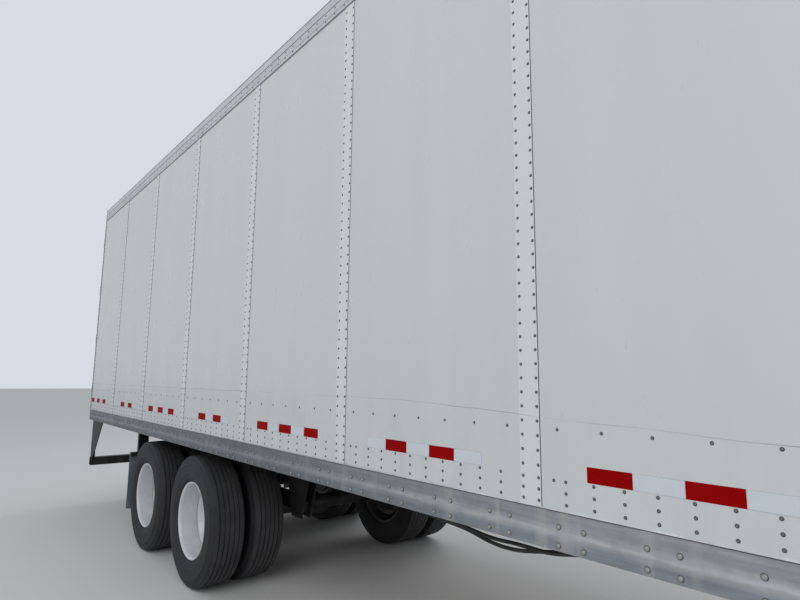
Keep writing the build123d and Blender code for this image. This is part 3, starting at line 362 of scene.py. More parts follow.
def zincFinish(name):
    # galvanised steel: spangles of many greys under patches of dirt
    material, tree, shader, place = startMaterial(name, metallic=0.6)
    spangle = addNode(tree, "TexVoronoi", {"Vector": place}, {"Scale": 70.0}, feature="F1").outputs["Color"]
    tone = addNode(tree, "RGBToBW", {"Color": spangle}).outputs[0]
    colour = mixed(tree, tone, zincLook["dark"], zincLook["light"])
    dirt = cloud(tree, place, 8.0, 0.45, 0.7, (1, 1, 1), 6.0)
    colour = mixed(tree, times(tree, dirt, 0.5), colour, zincLook["dirt"])
    setLook(tree, shader, colour, ranged(tree, dirt, to=(0.38, 0.62)), tone, 0.0002, 0.2)
    return material


def lensFinish(name, bright, deep):
    # clear coloured plastic over small prisms set in a grid
    material, tree, shader, place = startMaterial(name, coat=1.0, coatRoughness=0.04)
    scaled = addNode(tree, "VectorMath", {0: place}, {1: (400.0,) * 3}, operation="MULTIPLY").outputs[0]
    waves = addNode(tree, "VectorMath", {0: scaled}, operation="SINE").outputs[0]
    summed = addNode(tree, "VectorMath", {0: waves}, {1: (0.33,) * 3}, operation="DOT_PRODUCT")
    ridge = summed.outputs["Value"]
    colour = mixed(tree, ranged(tree, ridge, -0.6, 0.6), deep, bright)
    setLook(tree, shader, colour, 0.18, ridge, 0.001, 0.6)
    return material


roadDust = (0.16, 0.14, 0.12)
galvanised = "galvanised_steel"
finishes = {
    "wall_skin": wallFinish("wall_skin"),
    # painted highlight: the seam strips get the wall's paint made lighter, for the light on their outward
    # bend
    "seam_strip": wallFinish("seam_strip", 1.12),
    "mill_aluminium": railFinish("mill_aluminium"),
    "top_rail": railFinish("top_rail", 1.24, 0.25),
    "roof": railFinish("roof", 1.12, 0.15, 0.52),
    "rail_face": railFaceFinish("rail_face"),
    "hardwood_deck": deckFinish("hardwood_deck"),
    galvanised: zincFinish(galvanised),
    "red_lens": lensFinish("red_lens", (0.55, 0.01, 0.01), (0.25, 0.004, 0.004)),
    "amber_lens": lensFinish("amber_lens", (0.85, 0.26, 0.02), (0.5, 0.12, 0.01)),
}
plainLooks = {
    "door_skin": dict(
        colour=(0.6, 0.62, 0.63), second=(0.64, 0.66, 0.665), broad=2.0, fine=40.0, coat=0.3, strength=0.05,
        roughness=(0.3, 0.42), dirt=(0.33, 0.32, 0.3), dirtFrom=(1.2, 2.6), dirtShare=0.22, dirtScale=5.0),
    "inner_splice": dict(
        colour=(0.55, 0.56, 0.57), second=(0.62, 0.63, 0.64), broad=6.0, fine=90.0, metallic=0.8,
        roughness=(0.35, 0.5), stretch=(1, 1, 0.2)),
    "white_wheel_paint": dict(
        colour=(0.62, 0.63, 0.65), second=(0.68, 0.69, 0.705), broad=5.0, fine=60.0, coat=0.4, strength=0.05,
        roughness=(0.28, 0.4), dirt=(0.34, 0.31, 0.28), dirtFrom=(0.2, 0.9), dirtShare=0.25, dirtScale=14.0,
        inboardShade=(0.035, 0.032, 0.03)),
    "hub_steel": dict(
        colour=(0.1, 0.1, 0.105), second=(0.17, 0.15, 0.14), broad=12.0, fine=120.0, metallic=0.4,
        roughness=(0.45, 0.65), dirt=(0.2, 0.11, 0.06), dirtShare=0.5),
    "black_chassis_paint": dict(
        colour=(0.01, 0.01, 0.011), second=(0.018, 0.018, 0.019), broad=5.0, fine=80.0, specular=0.3,
        roughness=(0.4, 0.55), dirt=roadDust, dirtShare=0.26),
    "black_rubber": dict(
        colour=(0.02, 0.02, 0.021), second=(0.035, 0.034, 0.034), broad=9.0, fine=150.0,
        roughness=(0.6, 0.75), dirt=roadDust, dirtShare=0.35),
    "flap_rubber": dict(
        colour=(0.1, 0.125, 0.15), second=(0.15, 0.175, 0.2), broad=4.0, fine=90.0,
        roughness=(0.55, 0.7), dirt=roadDust, dirtShare=0.5, dirtFrom=(0.2, 0.7)),
    "hose_rubber": dict(
        colour=(0.02, 0.02, 0.022), second=(0.04, 0.038, 0.036), broad=20.0, fine=200.0,
        roughness=(0.5, 0.65), dirt=roadDust, dirtShare=0.4),
    "tyre_rubber": dict(
        colour=(0.018, 0.018, 0.02), second=(0.03, 0.029, 0.028), broad=4.0, fine=120.0,
        roughness=(0.6, 0.8), dirt=roadDust, dirtShare=0.3),
    "fitting_metal": dict(
        colour=(0.42, 0.35, 0.2), second=(0.5, 0.43, 0.28), broad=30.0, fine=200.0, metallic=0.9,
        roughness=(0.35, 0.5)),
    # painted shadow lines: dark strips laid in the joints and under the steps
    "shadow_line_paint": dict(
        colour=(0.045, 0.047, 0.052), second=(0.085, 0.088, 0.094), broad=3.0, fine=90.0,
        roughness=(0.5, 0.7), stretch=(1, 1, 0.2)),
    "top_rivet": dict(
        colour=(0.05, 0.05, 0.055), second=(0.1, 0.1, 0.105), broad=30.0, fine=150.0, metallic=0.3,
        roughness=(0.45, 0.6)),
    "tape_edge": dict(
        colour=(0.4, 0.43, 0.48), second=(0.52, 0.55, 0.6), broad=12.0, fine=90.0, roughness=(0.5, 0.7)),
}
for finishName, look in plainLooks.items():
    finishes[finishName] = plainFinish(finishName, look)
# a carried piece gets its slot's finish, apart from these
ownFinish = {"seam_strips": "seam_strip", "top_rails": "top_rail", "roof_sheet": "roof"}
for part in frame["record"]["subparts"]:
    node = frame["nodes"][part["node"]]
    node.data.materials.clear()
    node.data.materials.append(finishes[ownFinish.get(part["node"], part["material_slot"])])
print("finishes on", len(frame["nodes"]), "carried pieces")


# Meshes: whole arrays of points and of corners, put together and pushed into Blender at once
def gridCorners(rows, columns, closed=False):
    # four corners for each cell between closed rows of points, and closed joins the last row to the first
    row = np.arange(rows if closed else rows - 1)[:, None]
    column = np.arange(columns)[None, :]
    nextRow, nextColumn = (row + 1) % rows, (column + 1) % columns
    cells = [row * columns + column, row * columns + nextColumn,
             nextRow * columns + nextColumn, nextRow * columns + column]
    return np.stack(cells, axis=-1).reshape(-1, 4)


def turnedOutward(points, faces):
    # the volume under all faces is negative where a closed shape is inside out, and then each is reversed
    total = 0.0
    for face in faces:
        for k in range(1, face.shape[1] - 1):
            a, b, c = points[face[:, 0]], points[face[:, k]], points[face[:, k + 1]]
            total += np.einsum("ij,ij->i", a, np.cross(b, c)).sum()
    return faces if total > 0 else [face[:, ::-1] for face in faces]


def makePiece(name, shape, finish, body="trailer", smooth=None, replaced=(), uv=None, shade=None):
    # smooth is the angle in radians past which an edge stays sharp, None for flat faces
    points, faces = shape
    faces = turnedOutward(points, faces)
    mesh = bpy.data.meshes.new(name)
    corners = np.concatenate([face.ravel() for face in faces]).astype(np.int32)
    sizes = np.concatenate([np.full(len(face), face.shape[1]) for face in faces])
    mesh.vertices.add(len(points))
    mesh.vertices.foreach_set("co", np.asarray(points, np.float32).ravel())
    mesh.loops.add(len(corners))
    mesh.loops.foreach_set("vertex_index", corners)
    mesh.polygons.add(len(sizes))
    mesh.polygons.foreach_set("loop_start", (np.cumsum(sizes) - sizes).astype(np.int32))
    if uv is not None:
        layer = mesh.uv_layers.new(name="across")
        layer.data.foreach_set("uv", np.asarray(uv, np.float32)[corners].ravel())
    if shade is not None:
        layer = mesh.attributes.new("shade", "FLOAT", "POINT")
        layer.data.foreach_set("value", np.asarray(shade, np.float32))
    mesh.polygons.foreach_set("use_smooth", np.full(len(sizes), smooth is not None))
    mesh.update(calc_edges=True)
    if smooth is not None:
        mesh.set_sharp_from_angle(angle=smooth)
    mesh.materials.append(finishes[finish])
    made = bpy.data.objects.new(name, mesh)
    scene.collection.objects.link(made)
    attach(made, body)
    if replaced:
        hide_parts(*replaced)


def joined(parts):
    # several shapes as one: points stacked, corners of each shifted by the points before it
    points, faces, start = [], [], 0
    for some, corners in parts:
        points.append(some)
        faces += [face + start for face in corners]
        start += len(some)
    return np.concatenate(points), faces


def fan(ring, centre):
    # triangles from one point to each side of a ring of point numbers
    ring = np.asarray(ring)
    return np.column_stack([ring, np.roll(ring, -1), np.full(len(ring), centre)])


def lathe(profile, centre, segments):
    # a closed outline of (radius, place along Y) turned about the line through centre (x, z)
    turn = np.linspace(0, 2 * np.pi, segments, endpoint=False)[:, None]
    radius, along = profile[None, :, 0], profile[None, :, 1] + 0 * turn
    points = np.stack([centre[0] + radius * np.sin(turn), along, centre[1] + radius * np.cos(turn)], axis=-1)
    return points.reshape(-1, 3), [gridCorners(segments, len(profile), True)]


def knob(outline, sides):
    # (radius, height) rings from the foot to the top about Z, with the foot and the top closed by fans
    turn = np.linspace(0, 2 * np.pi, sides, endpoint=False)
    rings = [np.column_stack([r * np.cos(turn), r * np.sin(turn), np.full(sides, h)]) for r, h in outline]
    foot, top = len(outline) * sides, len(outline) * sides + 1
    ends = [[0, 0, outline[0][1]], [0, 0, outline[-1][1]]]
    points = np.concatenate([*rings, ends])
    faces = [gridCorners(len(outline), sides), fan(np.arange(sides)[::-1], foot),
             fan(np.arange(sides) + (len(outline) - 1) * sides, top)]
    return points, faces


def dome(radius, height, sides, rings):
    # ring k of a dome at angle t from the foot has radius cos(t) and height sin(t), and the last is the top
    turn = np.linspace(0, np.pi / 2, rings, endpoint=False)
    return knob([(radius * np.cos(t), height * np.sin(t)) for t in turn], sides)


def bar(size, bevel):
    # a box of that width, depth and height on its foot, with its top edges cut by the bevel
    half, low = np.array(size[:2]) / 2, np.array([[-1, -1], [1, -1], [1, 1], [-1, 1]])
    heights = (0.0, size[2] - bevel, size[2])
    insets = (0.0, 0.0, bevel)
    rings = [np.column_stack([low * (half - inset), np.full(4, h)]) for h, inset in zip(heights, insets)]
    faces = [gridCorners(3, 4), np.array([[3, 2, 1, 0]]), np.array([[8, 9, 10, 11]])]
    return np.concatenate(rings), faces


def stamped(shape, places, normal):
    # the shape at every place, its Z turned to the normal and its X kept level
    points, faces = shape
    n = np.array(normal, float)
    across = np.cross([0, 0, 1], n) if abs(n[2]) < 0.9 else np.array([1.0, 0, 0])
    along = np.cross(n, across)
    turned = points[:, :1] * across + points[:, 1:2] * along + points[:, 2:] * n
    places = np.asarray(places, float).reshape(-1, 3)
    made = (places[:, None, :] + turned[None]).reshape(-1, 3)
    shift = (np.arange(len(places)) * len(points))[:, None, None]
    return made, [(face[None] + shift).reshape(-1, face.shape[1]) for face in faces]


def stampPiece(name, finish, normal, pairs, body="trailer", smooth=None):
    # one piece of several shapes that face one way, each with its own places
    makePiece(name, joined([stamped(shape, places, normal) for shape, places in pairs]), finish, body, smooth)


def spread(start, stop, pitch):
    # even steps from the start, as many as fit before the stop
    return start + pitch * np.arange(int((stop - start) / pitch) + 1)


def mirrored(y):
    # each of those distances from the middle on the left and then on the right
    return np.concatenate([np.ravel(y), -np.ravel(y)])


def crossed(xs, zs, y):
    # every x with every z, at one y
    x, z = np.meshgrid(xs, zs, indexing="ij")
    return np.column_stack([x.ravel(), np.full(x.size, y), z.ravel()])


def collar(inner, outer, height, sides):
    # a ring about Z with its top outer edge cut, as a grid of sides by outline points that closes both ways
    turn = np.linspace(0, 2 * np.pi, sides, endpoint=False)[:, None]
    cut = 0.3 * min(height, outer - inner)
    outline = [(inner, 0), (outer, 0), (outer, height - cut), (outer - cut, height), (inner, height)]
    outline = np.array(outline)
    radius, up = outline[None, :, 0], outline[None, :, 1] + 0 * turn
    points = np.stack([radius * np.cos(turn), radius * np.sin(turn), up], axis=-1).reshape(-1, 3)
    return points, [gridCorners(sides, len(outline), True)]


def window(size, wide, height):
    # a rectangular frame whose bars are that wide, as a grid of its four corners by four outline points
    corners = np.array([(-1, -1), (1, -1), (1, 1), (-1, 1)])[:, None, :] / 2
    insets = np.array([0.0, 0.0, wide, wide])[None, :, None]
    flat = corners * size - np.sign(corners) * insets
    up = np.broadcast_to(np.array([0.0, height, height, 0.0])[None, :, None], (4, 4, 1))
    return np.concatenate([flat, up], axis=-1).reshape(-1, 3), [gridCorners(4, 4, True)]


def tube(path, radius, sides, level):
    # a round bar along a path in the upright plane at that y: each ring lies across the path's direction
    path = np.asarray(path, float)
    ahead = np.gradient(path, axis=0)
    ahead /= np.linalg.norm(ahead, axis=1)[:, None]
    turn = np.linspace(0, 2 * np.pi, sides, endpoint=False)
    out = radius * np.sin(turn)[None, :]
    x = path[:, :1] - ahead[:, 1:] * out
    z = path[:, 1:] + ahead[:, :1] * out
    y = level + radius * np.cos(turn)[None, :] + 0 * x
    points = np.stack([x, y, z], axis=-1).reshape(-1, 3)
    count = len(path) * sides
    ends = [(path[0, 0], level, path[0, 1]), (path[-1, 0], level, path[-1, 1])]
    faces = [gridCorners(len(path), sides), fan(np.arange(sides)[::-1], count),
             fan(np.arange(sides) + count - sides, count + 1)]
    return np.concatenate([points, ends]), faces


def extruded(outline, start, stop):
    # a closed (y, z) outline carried along X, closed at both ends
    outline = np.asarray(outline, float)
    count = len(outline)
    rings = [np.column_stack([np.full(count, x), outline]) for x in (start, stop)]
    faces = [gridCorners(2, count), np.arange(count)[::-1][None], np.arange(count)[None] + count]
    return np.concatenate(rings), faces


def hexHead(radius, height):
    # a hexagon with a low cone cut on its top edge
    return knob([(radius, 0.0), (radius, 0.8 * height), (0.86 * radius, height)], 6)


# Air hoses: they leave the sliding frame, sag to the middle and rise to fittings on the cross beams
hose = {"thick": 0.022, "lower": 3.014, "upper": 2.7, "lowX": -0.4568, "highX": -0.7616}
lowEnd, highEnd = hose["lowX"], hose["highX"]
lowerRoute = [
    (-3.307, -0.385, 0.921), (-3.197, -0.385, 0.921), (-2.997, -0.391, 0.893), (-2.747, -0.397, 0.838),
    (-2.477, -0.393, 0.792), (-2.197, -0.385, 0.768), (-1.967, -0.379, 0.752), (-1.787, -0.377, 0.712),
    (-1.607, -0.379, 0.71), (-1.417, -0.385, 0.75), (-1.197, -0.39, 0.792), (-0.967, -0.388, 0.812),
    (lowEnd - 0.278, -0.385, 0.827), (lowEnd - 0.152, -0.385, 0.846), (lowEnd - 0.074, -0.385, 0.889),
    (lowEnd - 0.023, -0.385, 0.951), (lowEnd, -0.385, 1.014), (lowEnd, -0.385, 1.069),
]
upperRoute = [
    (-3.307, -0.425, 0.921), (-3.187, -0.425, 0.921), (-2.977, -0.431, 0.904), (-2.727, -0.435, 0.864),
    (-2.457, -0.433, 0.826), (-2.177, -0.429, 0.797), (-1.927, -0.425, 0.776), (-1.747, -0.421, 0.753),
    (-1.537, -0.423, 0.766), (-1.357, -0.425, 0.76), (-1.167, -0.427, 0.8),
    (highEnd - 0.274, -0.425, 0.822), (highEnd - 0.152, -0.425, 0.846), (highEnd - 0.074, -0.425, 0.889),
    (highEnd - 0.023, -0.425, 0.951), (highEnd, -0.425, 1.014), (highEnd, -0.425, 1.069),
]
for name, route in (("lower", lowerRoute), ("upper", upperRoute)):
    data = bpy.data.curves.new("air_hose_" + name, "CURVE")
    data.dimensions = "3D"
    data.bevel_depth = hose["thick"] / 2
    data.bevel_resolution = 4
    data.use_fill_caps = True
    spline = data.splines.new("NURBS")
    spline.points.add(len(route) - 1)
    spline.points.foreach_set("co", np.column_stack([route, np.ones(len(route))]).ravel())
    spline.order_u = 3
    spline.use_endpoint_u = True
    spline.resolution_u = 8
    data.materials.append(finishes["hose_rubber"])
    made = bpy.data.objects.new("air_hose_" + name, data)
    scene.collection.objects.link(made)
    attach(made, "trailer")
    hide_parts("hose_" + name)
print("hoses laid")


# Tyres: rounded section with rim flange seat, bulged walls, worn shoulders and five straight grooves
axleX = {"front": -4.2, "rear": -5.461}
axleZ = 0.508
wheelPairs = [(f"{place}_{hand}", x, sides[hand]) for place, x in axleX.items() for hand in ("left", "right")]
tyre = {
    "radius": 0.508,
    "crown": 0.005,  # how much lower the tread's edge is than its middle
    "halfTread": 0.111,
    "grooves": (-0.076, -0.038, 0.0, 0.038, 0.076),
    "grooveWide": 0.009,
    "grooveDeep": 0.012,
    "grooveSlope": 0.0012,
    "segments": 144,
    "planes": (1.14, 0.81),
}
# half of the section from the shoulder down to the bead, as distance from the middle plane and radius
wallHalf = np.array([
    (0.1165, 0.5), (0.1215, 0.493), (0.1245, 0.482), (0.125, 0.472), (0.1278, 0.4708), (0.1292, 0.466),
    (0.1287, 0.461), (0.1306, 0.459), (0.1335, 0.444), (0.1356, 0.442), (0.1362, 0.4385), (0.135, 0.435),
    (0.1374, 0.412), (0.1374, 0.387), (0.1352, 0.368), (0.1364, 0.3655), (0.1352, 0.36), (0.1328, 0.358),
    (0.1305, 0.344), (0.129, 0.338), (0.1285, 0.328), (0.1225, 0.316), (0.119, 0.313), (0.118, 0.3085),
    (0.112, 0.3055), (0.1055, 0.301), (0.1045, 0.296), (0.1045, 0.2861),
])


def treadHeight(y):
    # the crown falls off with the square of the distance from the middle
    return tyre["radius"] - tyre["crown"] * (y / tyre["halfTread"]) ** 2


def tyreSection():
    # the two wall halves joined by the crown, which drops by the groove's depth between its sloped sides
    wide, deep, slant = tyre["grooveWide"] / 2, tyre["grooveDeep"], tyre["grooveSlope"]
    across = np.array([g + e for g in tyre["grooves"] for e in (-wide, slant - wide, wide - slant, wide)])
    sunk = np.tile([0.0, deep, deep, 0.0], len(tyre["grooves"]))
    tread = np.column_stack([across, treadHeight(across) - sunk])
    edge = np.array([[tyre["halfTread"], treadHeight(tyre["halfTread"])]])
    right = np.concatenate([edge, wallHalf])
    return np.concatenate([right[::-1] * (-1, 1), tread, right])


rubberLook = {
    "wall": ((0.0125, 0.0125, 0.015), (0.021, 0.0205, 0.0225)),
    "tread": ((0.03, 0.03, 0.034), (0.052, 0.05, 0.052)),
    "sipe": (0.012, 0.012, 0.012),
    "sipes": 240.0,
    "treadEdge": 0.112,
}


def tyreFinish(name):
    # matt rubber: dark walls, a dusty tread, and fine sipes across its ribs at even steps round the tyre,
    # darkened with painted shade
    material, tree, shader, place = startMaterial(name)
    across = addNode(tree, "UVMap", uv_map="across").outputs["UV"]
    split = addNode(tree, "SeparateXYZ", {"Vector": across})
    around, over = split.outputs["X"], split.outputs["Y"]
    onTread = maths(tree, "COMPARE", over, 0.0, rubberLook["treadEdge"])
    dust = cloud(tree, place, 7.0, 0.35, 0.72, (1, 1, 1), 7.0)
    fine = cloud(tree, place, 160.0, 0.3, 0.7, (1, 1, 1), 3.0)
    walls, tread = (mixed(tree, dust, *rubberLook[kind]) for kind in ("wall", "tread"))
    colour = mixed(tree, onTread, walls, tread)
    saw = maths(tree, "FRACT", times(tree, around, rubberLook["sipes"]))
    sipe = times(tree, maths(tree, "COMPARE", saw, 0.5, 0.07), onTread)
    # painted shade in the sipes
    colour = mixed(tree, times(tree, sipe, 0.6), colour, rubberLook["sipe"])
    relief = plus(tree, fine, times(tree, sipe, -4.0))
    setLook(tree, shader, colour, ranged(tree, fine, to=(0.62, 0.8)), relief, 0.0006, 0.4)
    return material


finishes["tyre_tread"] = tyreFinish("tyre_tread")
section = tyreSection()
# each point's map is its share of a turn and its distance from the tyre's middle plane
turns = np.linspace(0, 1, tyre["segments"], endpoint=False)
sectionMap = np.stack(np.meshgrid(turns, section[:, 0], indexing="ij"), axis=-1).reshape(-1, 2)
for pair, x, side in wheelPairs:
    outlines = [np.column_stack([section[:, 1], side * middle + section[:, 0]]) for middle in tyre["planes"]]
    shapes = [lathe(outline, (x, axleZ), tyre["segments"]) for outline in outlines]
    makePiece(f"tyre_pair_{pair}", joined(shapes), "tyre_tread", f"wheel_{pair}", 0.7, [f"tyres_{pair}"],
              uv=np.tile(sectionMap, (len(outlines), 1)))
print("tyres turned")


# Disc wheels: flange lips, bead seats, drop centre, and a dished disc with its nuts
wheel = {
    "mount": 0.975,  # plane where the two discs meet
    "discThick": 0.0125,
    "segments": 96,
    "nutCircle": 0.1429,
    "nuts": 10,
    # rings of radius and height: the nut and the end of its stud
    "nut": [(0.019, 0.0), (0.019, 0.02), (0.016, 0.023), (0.0105, 0.0235), (0.0105, 0.036)],
}
# outline as (distance outward from the mounting plane, radius), first outside and then inside
rimOutline = np.array([
    (0.05, 0.2985), (0.059, 0.2985), (0.06, 0.2955), (0.06, 0.2858), (0.098, 0.2848), (0.112, 0.279),
    (0.19, 0.279), (0.206, 0.2848), (0.27, 0.2858), (0.27, 0.2955), (0.271, 0.2985), (0.279, 0.2985),
    (0.2812, 0.297), (0.282, 0.2945), (0.2812, 0.2915), (0.279, 0.288), (0.2745, 0.283), (0.268, 0.279),
    (0.258, 0.2765), (0.23, 0.2745), (0.18, 0.27), (0.142, 0.266), (0.1372, 0.2662), (0.135, 0.2735),
    (0.13, 0.274), (0.1275, 0.27), (0.1265, 0.262), (0.12, 0.256), (0.096, 0.244), (0.06, 0.228),
    (0.028, 0.198), (0.016, 0.18), (0.0125, 0.164), (0.0125, 0.11), (0.0005, 0.11), (0.0005, 0.17),
    (0.01, 0.19), (0.048, 0.236), (0.085, 0.256), (0.104, 0.264), (0.09, 0.2755), (0.056, 0.2765),
    (0.05, 0.289),
])


def rimShape(x, side, way):
    # the outline runs outward for the outer wheel and inward for the inner one, which is its mirror
    across = side * (wheel["mount"] + way * rimOutline[:, 0])
    return lathe(np.column_stack([rimOutline[:, 1], across]), (x, axleZ), wheel["segments"])


def ringSpots(x, y, radius, count, first=0.0):
    # even places on a circle about the wheel's axle, the first one that many steps from straight ahead
    turn = 2 * np.pi * (np.arange(count) + first) / count
    return np.column_stack([x + radius * np.cos(turn), np.full(count, y), axleZ + radius * np.sin(turn)])


for pair, x, side in wheelPairs:
    rims = joined([rimShape(x, side, way) for way in (1, -1)])
    makePiece(f"disc_wheels_{pair}", rims, "white_wheel_paint", f"wheel_{pair}", 0.6, [f"rims_{pair}"])
    spots = ringSpots(x, side * (wheel["mount"] + wheel["discThick"]), wheel["nutCircle"], wheel["nuts"])
    nut = knob(wheel["nut"], 6)
    stampPiece(f"wheel_nuts_{pair}", galvanised, (0, side, 0), [(nut, spots)], f"wheel_{pair}", 0.5)
print("wheels turned")


# Bottom rails: lip, shadow groove, upper band, soft slope out to the lower band, then the foot and inner face
sideRail = {
    "upperY": halfWidth - 0.003,
    "slopeTop": 1.153,
    "slopeFoot": 1.119,
    "start": rearX + 0.031,
    "stop": frontX - 0.29,
}
railLong = sideRail["stop"] - sideRail["start"]
railMiddle = (sideRail["stop"] + sideRail["start"]) / 2
ease = np.linspace(0, 1, 9)
# the slope goes out to the full width along half a cosine wave
slopeOut = sideRail["upperY"] + (halfWidth - sideRail["upperY"]) * (1 - np.cos(np.pi * ease)) / 2
slopeDown = sideRail["slopeTop"] + (sideRail["slopeFoot"] - sideRail["slopeTop"]) * ease
railOutline = np.concatenate([
    [(1.2782, 1.216), (1.295, 1.216), (1.2955, 1.2155), (1.2955, 1.2116), (1.295, 1.2108), (1.2915, 1.2106),
     (1.2915, 1.2082), (1.2925, 1.2076)],
    np.column_stack([slopeOut, slopeDown]),
    [(1.2955, 1.085), (1.2948, 1.082), (1.2935, 1.081), (1.2205, 1.081), (1.2205, 1.089), (1.2875, 1.089),
     (1.2875, 1.202), (1.2782, 1.21)],
])
rails = [extruded(railOutline * (s, 1), sideRail["start"], sideRail["stop"]) for s in (1, -1)]
makePiece("side_rails", joined(rails), "rail_face", smooth=0.5, replaced=["bottom_rails"])

# Dark lines along the forward edge of each seam strip, beside the rear post and on the top rail's steps:
# painted shadow lines of the joints and steps
shadowLines = {
    "seam": (0.0025, 2.61, 0.0016),  # width, height and thickness
    "seamMiddle": 2.5225,
    "rearmost": rearX + 0.0335,
    "lineThick": 0.0008,
    # height of the line, how tall it is and how far in from the full width its face lies
    "lines": ((3.833, 0.008, 0.0), (3.8668, 0.0038, 0.0015), (3.9169, 0.0038, 0.0015), (3.9755, 0.0045, 0.0)),
}
for hand, side in sides.items():
    shadowLineX = [*(seams + shadowLines["seam"][0] / 2), shadowLines["rearmost"]]
    pairs = [(bar(shadowLines["seam"], 0.0005), crossed(shadowLineX, [shadowLines["seamMiddle"]], side * wallFace))]
    for z, tall, sunk in shadowLines["lines"]:
        line = bar((railLong, tall, shadowLines["lineThick"]), 0.0003)
        pairs.append((line, [(railMiddle, side * (halfWidth - sunk), z)]))
    stampPiece(f"seam_shadow_lines_{hand}", "shadow_line_paint", (0, side, 0), pairs)
print("rails and seams laid")


# Rivets: small dull heads with a dark middle on the walls, larger domes on the rails, their rims darkened
# with painted shade and dirt
rivets = {
    # rings of radius and height, or a dome's radius, height, sides and rings
    "wallHead": [(0.0061, 0.0), (0.0056, 0.0014), (0.0033, 0.0026)],
    "railHead": (0.0102, 0.0054, 12, 3),
    "topHead": (0.0058, 0.0024, 8, 2),
    "postHead": (0.008, 0.003, 8, 2),
    "seamColumns": (-0.0755, -0.009),  # from the forward edge of each strip
    "seamSpan": (1.353, 3.8),
    "seamPitch": 0.0508,
    "stripWide": 0.1,
    "rearColumn": 0.05,
    "lowRows": (1.234, 1.272, 1.31),
    "lowPitch": 0.1042,
    "afterSeam": 0.1,
    "besideSeam": 0.053,
    "highRow": 1.481,
    "highPitch": 0.1668,
    # rows on the rails: height, and how far in from the full width the rail's face lies there
    "topRows": ((3.9, 0.0015), (3.858, 0.0)),
    "topPitch": 0.1042,
    "pairRows": ((1.159, 0.003), (1.1, 0.0)),
    "pairStart": 0.6834,
    "pairPitch": 0.3048,
    "pairApart": 0.095,
    "closeSpan": (0.06, 0.6),
    "closePitch": 0.0508,
    "postX": rearX + 0.015,
    "postY": halfWidth - 0.001,
    "postSpan": (1.265, 3.95),
}


def rivetFinish(name, look):
    # the shade attribute runs from 1 at the middle of a head, worn grey with a painted highlight, to 0 at its
    # rim, darkened with painted shade and dirt
    material, tree, shader, place = startMaterial(name, metallic=look["metallic"])
    shade = addNode(tree, "Attribute", attribute_name="shade").outputs["Fac"]
    tone = cloud(tree, place, 35.0, 0.35, 0.65)
    rim = mixed(tree, tone, *look["rim"])
    colour = mixed(tree, ranged(tree, shade, *look["turn"]), rim, look["middle"])
    setLook(tree, shader, colour, ranged(tree, tone, to=(0.4, 0.6)), tone, 0.0002, 0.2)
    return material


rivetLooks = {
    "wall_rivet": dict(metallic=0.3, turn=(0.35, 0.95), middle=(0.15, 0.16, 0.152),
                       rim=((0.02, 0.022, 0.026), (0.055, 0.058, 0.063))),
    "rail_rivet": dict(metallic=0.5, turn=(0.25, 0.95), middle=(0.36, 0.37, 0.345),
                       rim=((0.035, 0.036, 0.036), (0.1, 0.1, 0.1))),
}
for finishName, look in rivetLooks.items():
    finishes[finishName] = rivetFinish(finishName, look)
# each head with the shade of its rings, of its foot and of its top
heads = {
    "wall_rivet": (knob(rivets["wallHead"], 8), [*np.repeat([0.0, 0.25, 0.9], 8), 0.0, 1.0]),
    "rail_rivet": (dome(*rivets["railHead"]), [*np.repeat([0.0, 0.55, 0.9], 12), 0.0, 1.0]),
}


def rivetPiece(name, finish, spots, normal):
    # the finish's own head at every spot, with the shades repeated head by head
    head, shade = heads[finish]
    makePiece(name, stamped(head, spots, normal), finish, smooth=0.9, shade=np.tile(shade, len(spots)))


upright = spread(*rivets["seamSpan"], rivets["seamPitch"])
seamX = (seams[:, None] + rivets["seamColumns"]).ravel()
# the wall plates, from a seam's forward edge to the next strip
plateStarts = np.concatenate([[rearX + 0.045], seams])
plateEnds = np.concatenate([seams - rivets["stripWide"], [frontX - 0.3]])
lowStarts = np.concatenate([plateStarts[:1], seams + rivets["afterSeam"]])
lowX = np.concatenate([spread(a, b - 0.06, rivets["lowPitch"]) for a, b in zip(lowStarts, plateEnds)])
highX = [spread(a + 0.072, b - 0.03, rivets["highPitch"]) for a, b in zip(plateStarts, plateEnds)]
highX = np.concatenate(highX)
pairX = spread(rearX + rivets["pairStart"], frontX - 0.42, rivets["pairPitch"])
closeX = spread(*(rearX + np.array(rivets["closeSpan"])), rivets["closePitch"])
railX = np.concatenate([pairX, pairX + rivets["pairApart"], closeX])
topX = spread(rearX + 0.06, frontX - 0.33, rivets["topPitch"])
postZ = spread(*rivets["postSpan"], rivets["seamPitch"])
for hand, side in sides.items():
    out, wall, strip = (0, side, 0), side * wallFace, side * stripFace
    rivetPiece(f"wall_rivets_{hand}", "wall_rivet", np.concatenate([
        crossed(seamX, upright, strip),
        crossed(lowX, rivets["lowRows"], wall),
        crossed(seamX, rivets["lowRows"], strip),
        crossed(highX, [rivets["highRow"]], wall),
        crossed([rearX + rivets["rearColumn"]], upright, wall),
        crossed(seams + rivets["besideSeam"], rivets["lowRows"][2:], wall),
    ]), out)
    railSpots = [crossed(railX, [z], side * (halfWidth - sunk)) for z, sunk in rivets["pairRows"]]
    rivetPiece(f"rail_rivets_{hand}", "rail_rivet", np.concatenate(railSpots), out)
    topSpots = [crossed(topX, [z], side * (halfWidth - sunk)) for z, sunk in rivets["topRows"]]
    postSpots = crossed([rivets["postX"]], postZ, side * rivets["postY"])
    stampPiece(f"top_rail_rivets_{hand}", "top_rivet", out, [
        (dome(*rivets["topHead"]), np.concatenate(topSpots)),
        (dome(*rivets["postHead"]), postSpots),
    ], smooth=0.9)
print("rivets set")


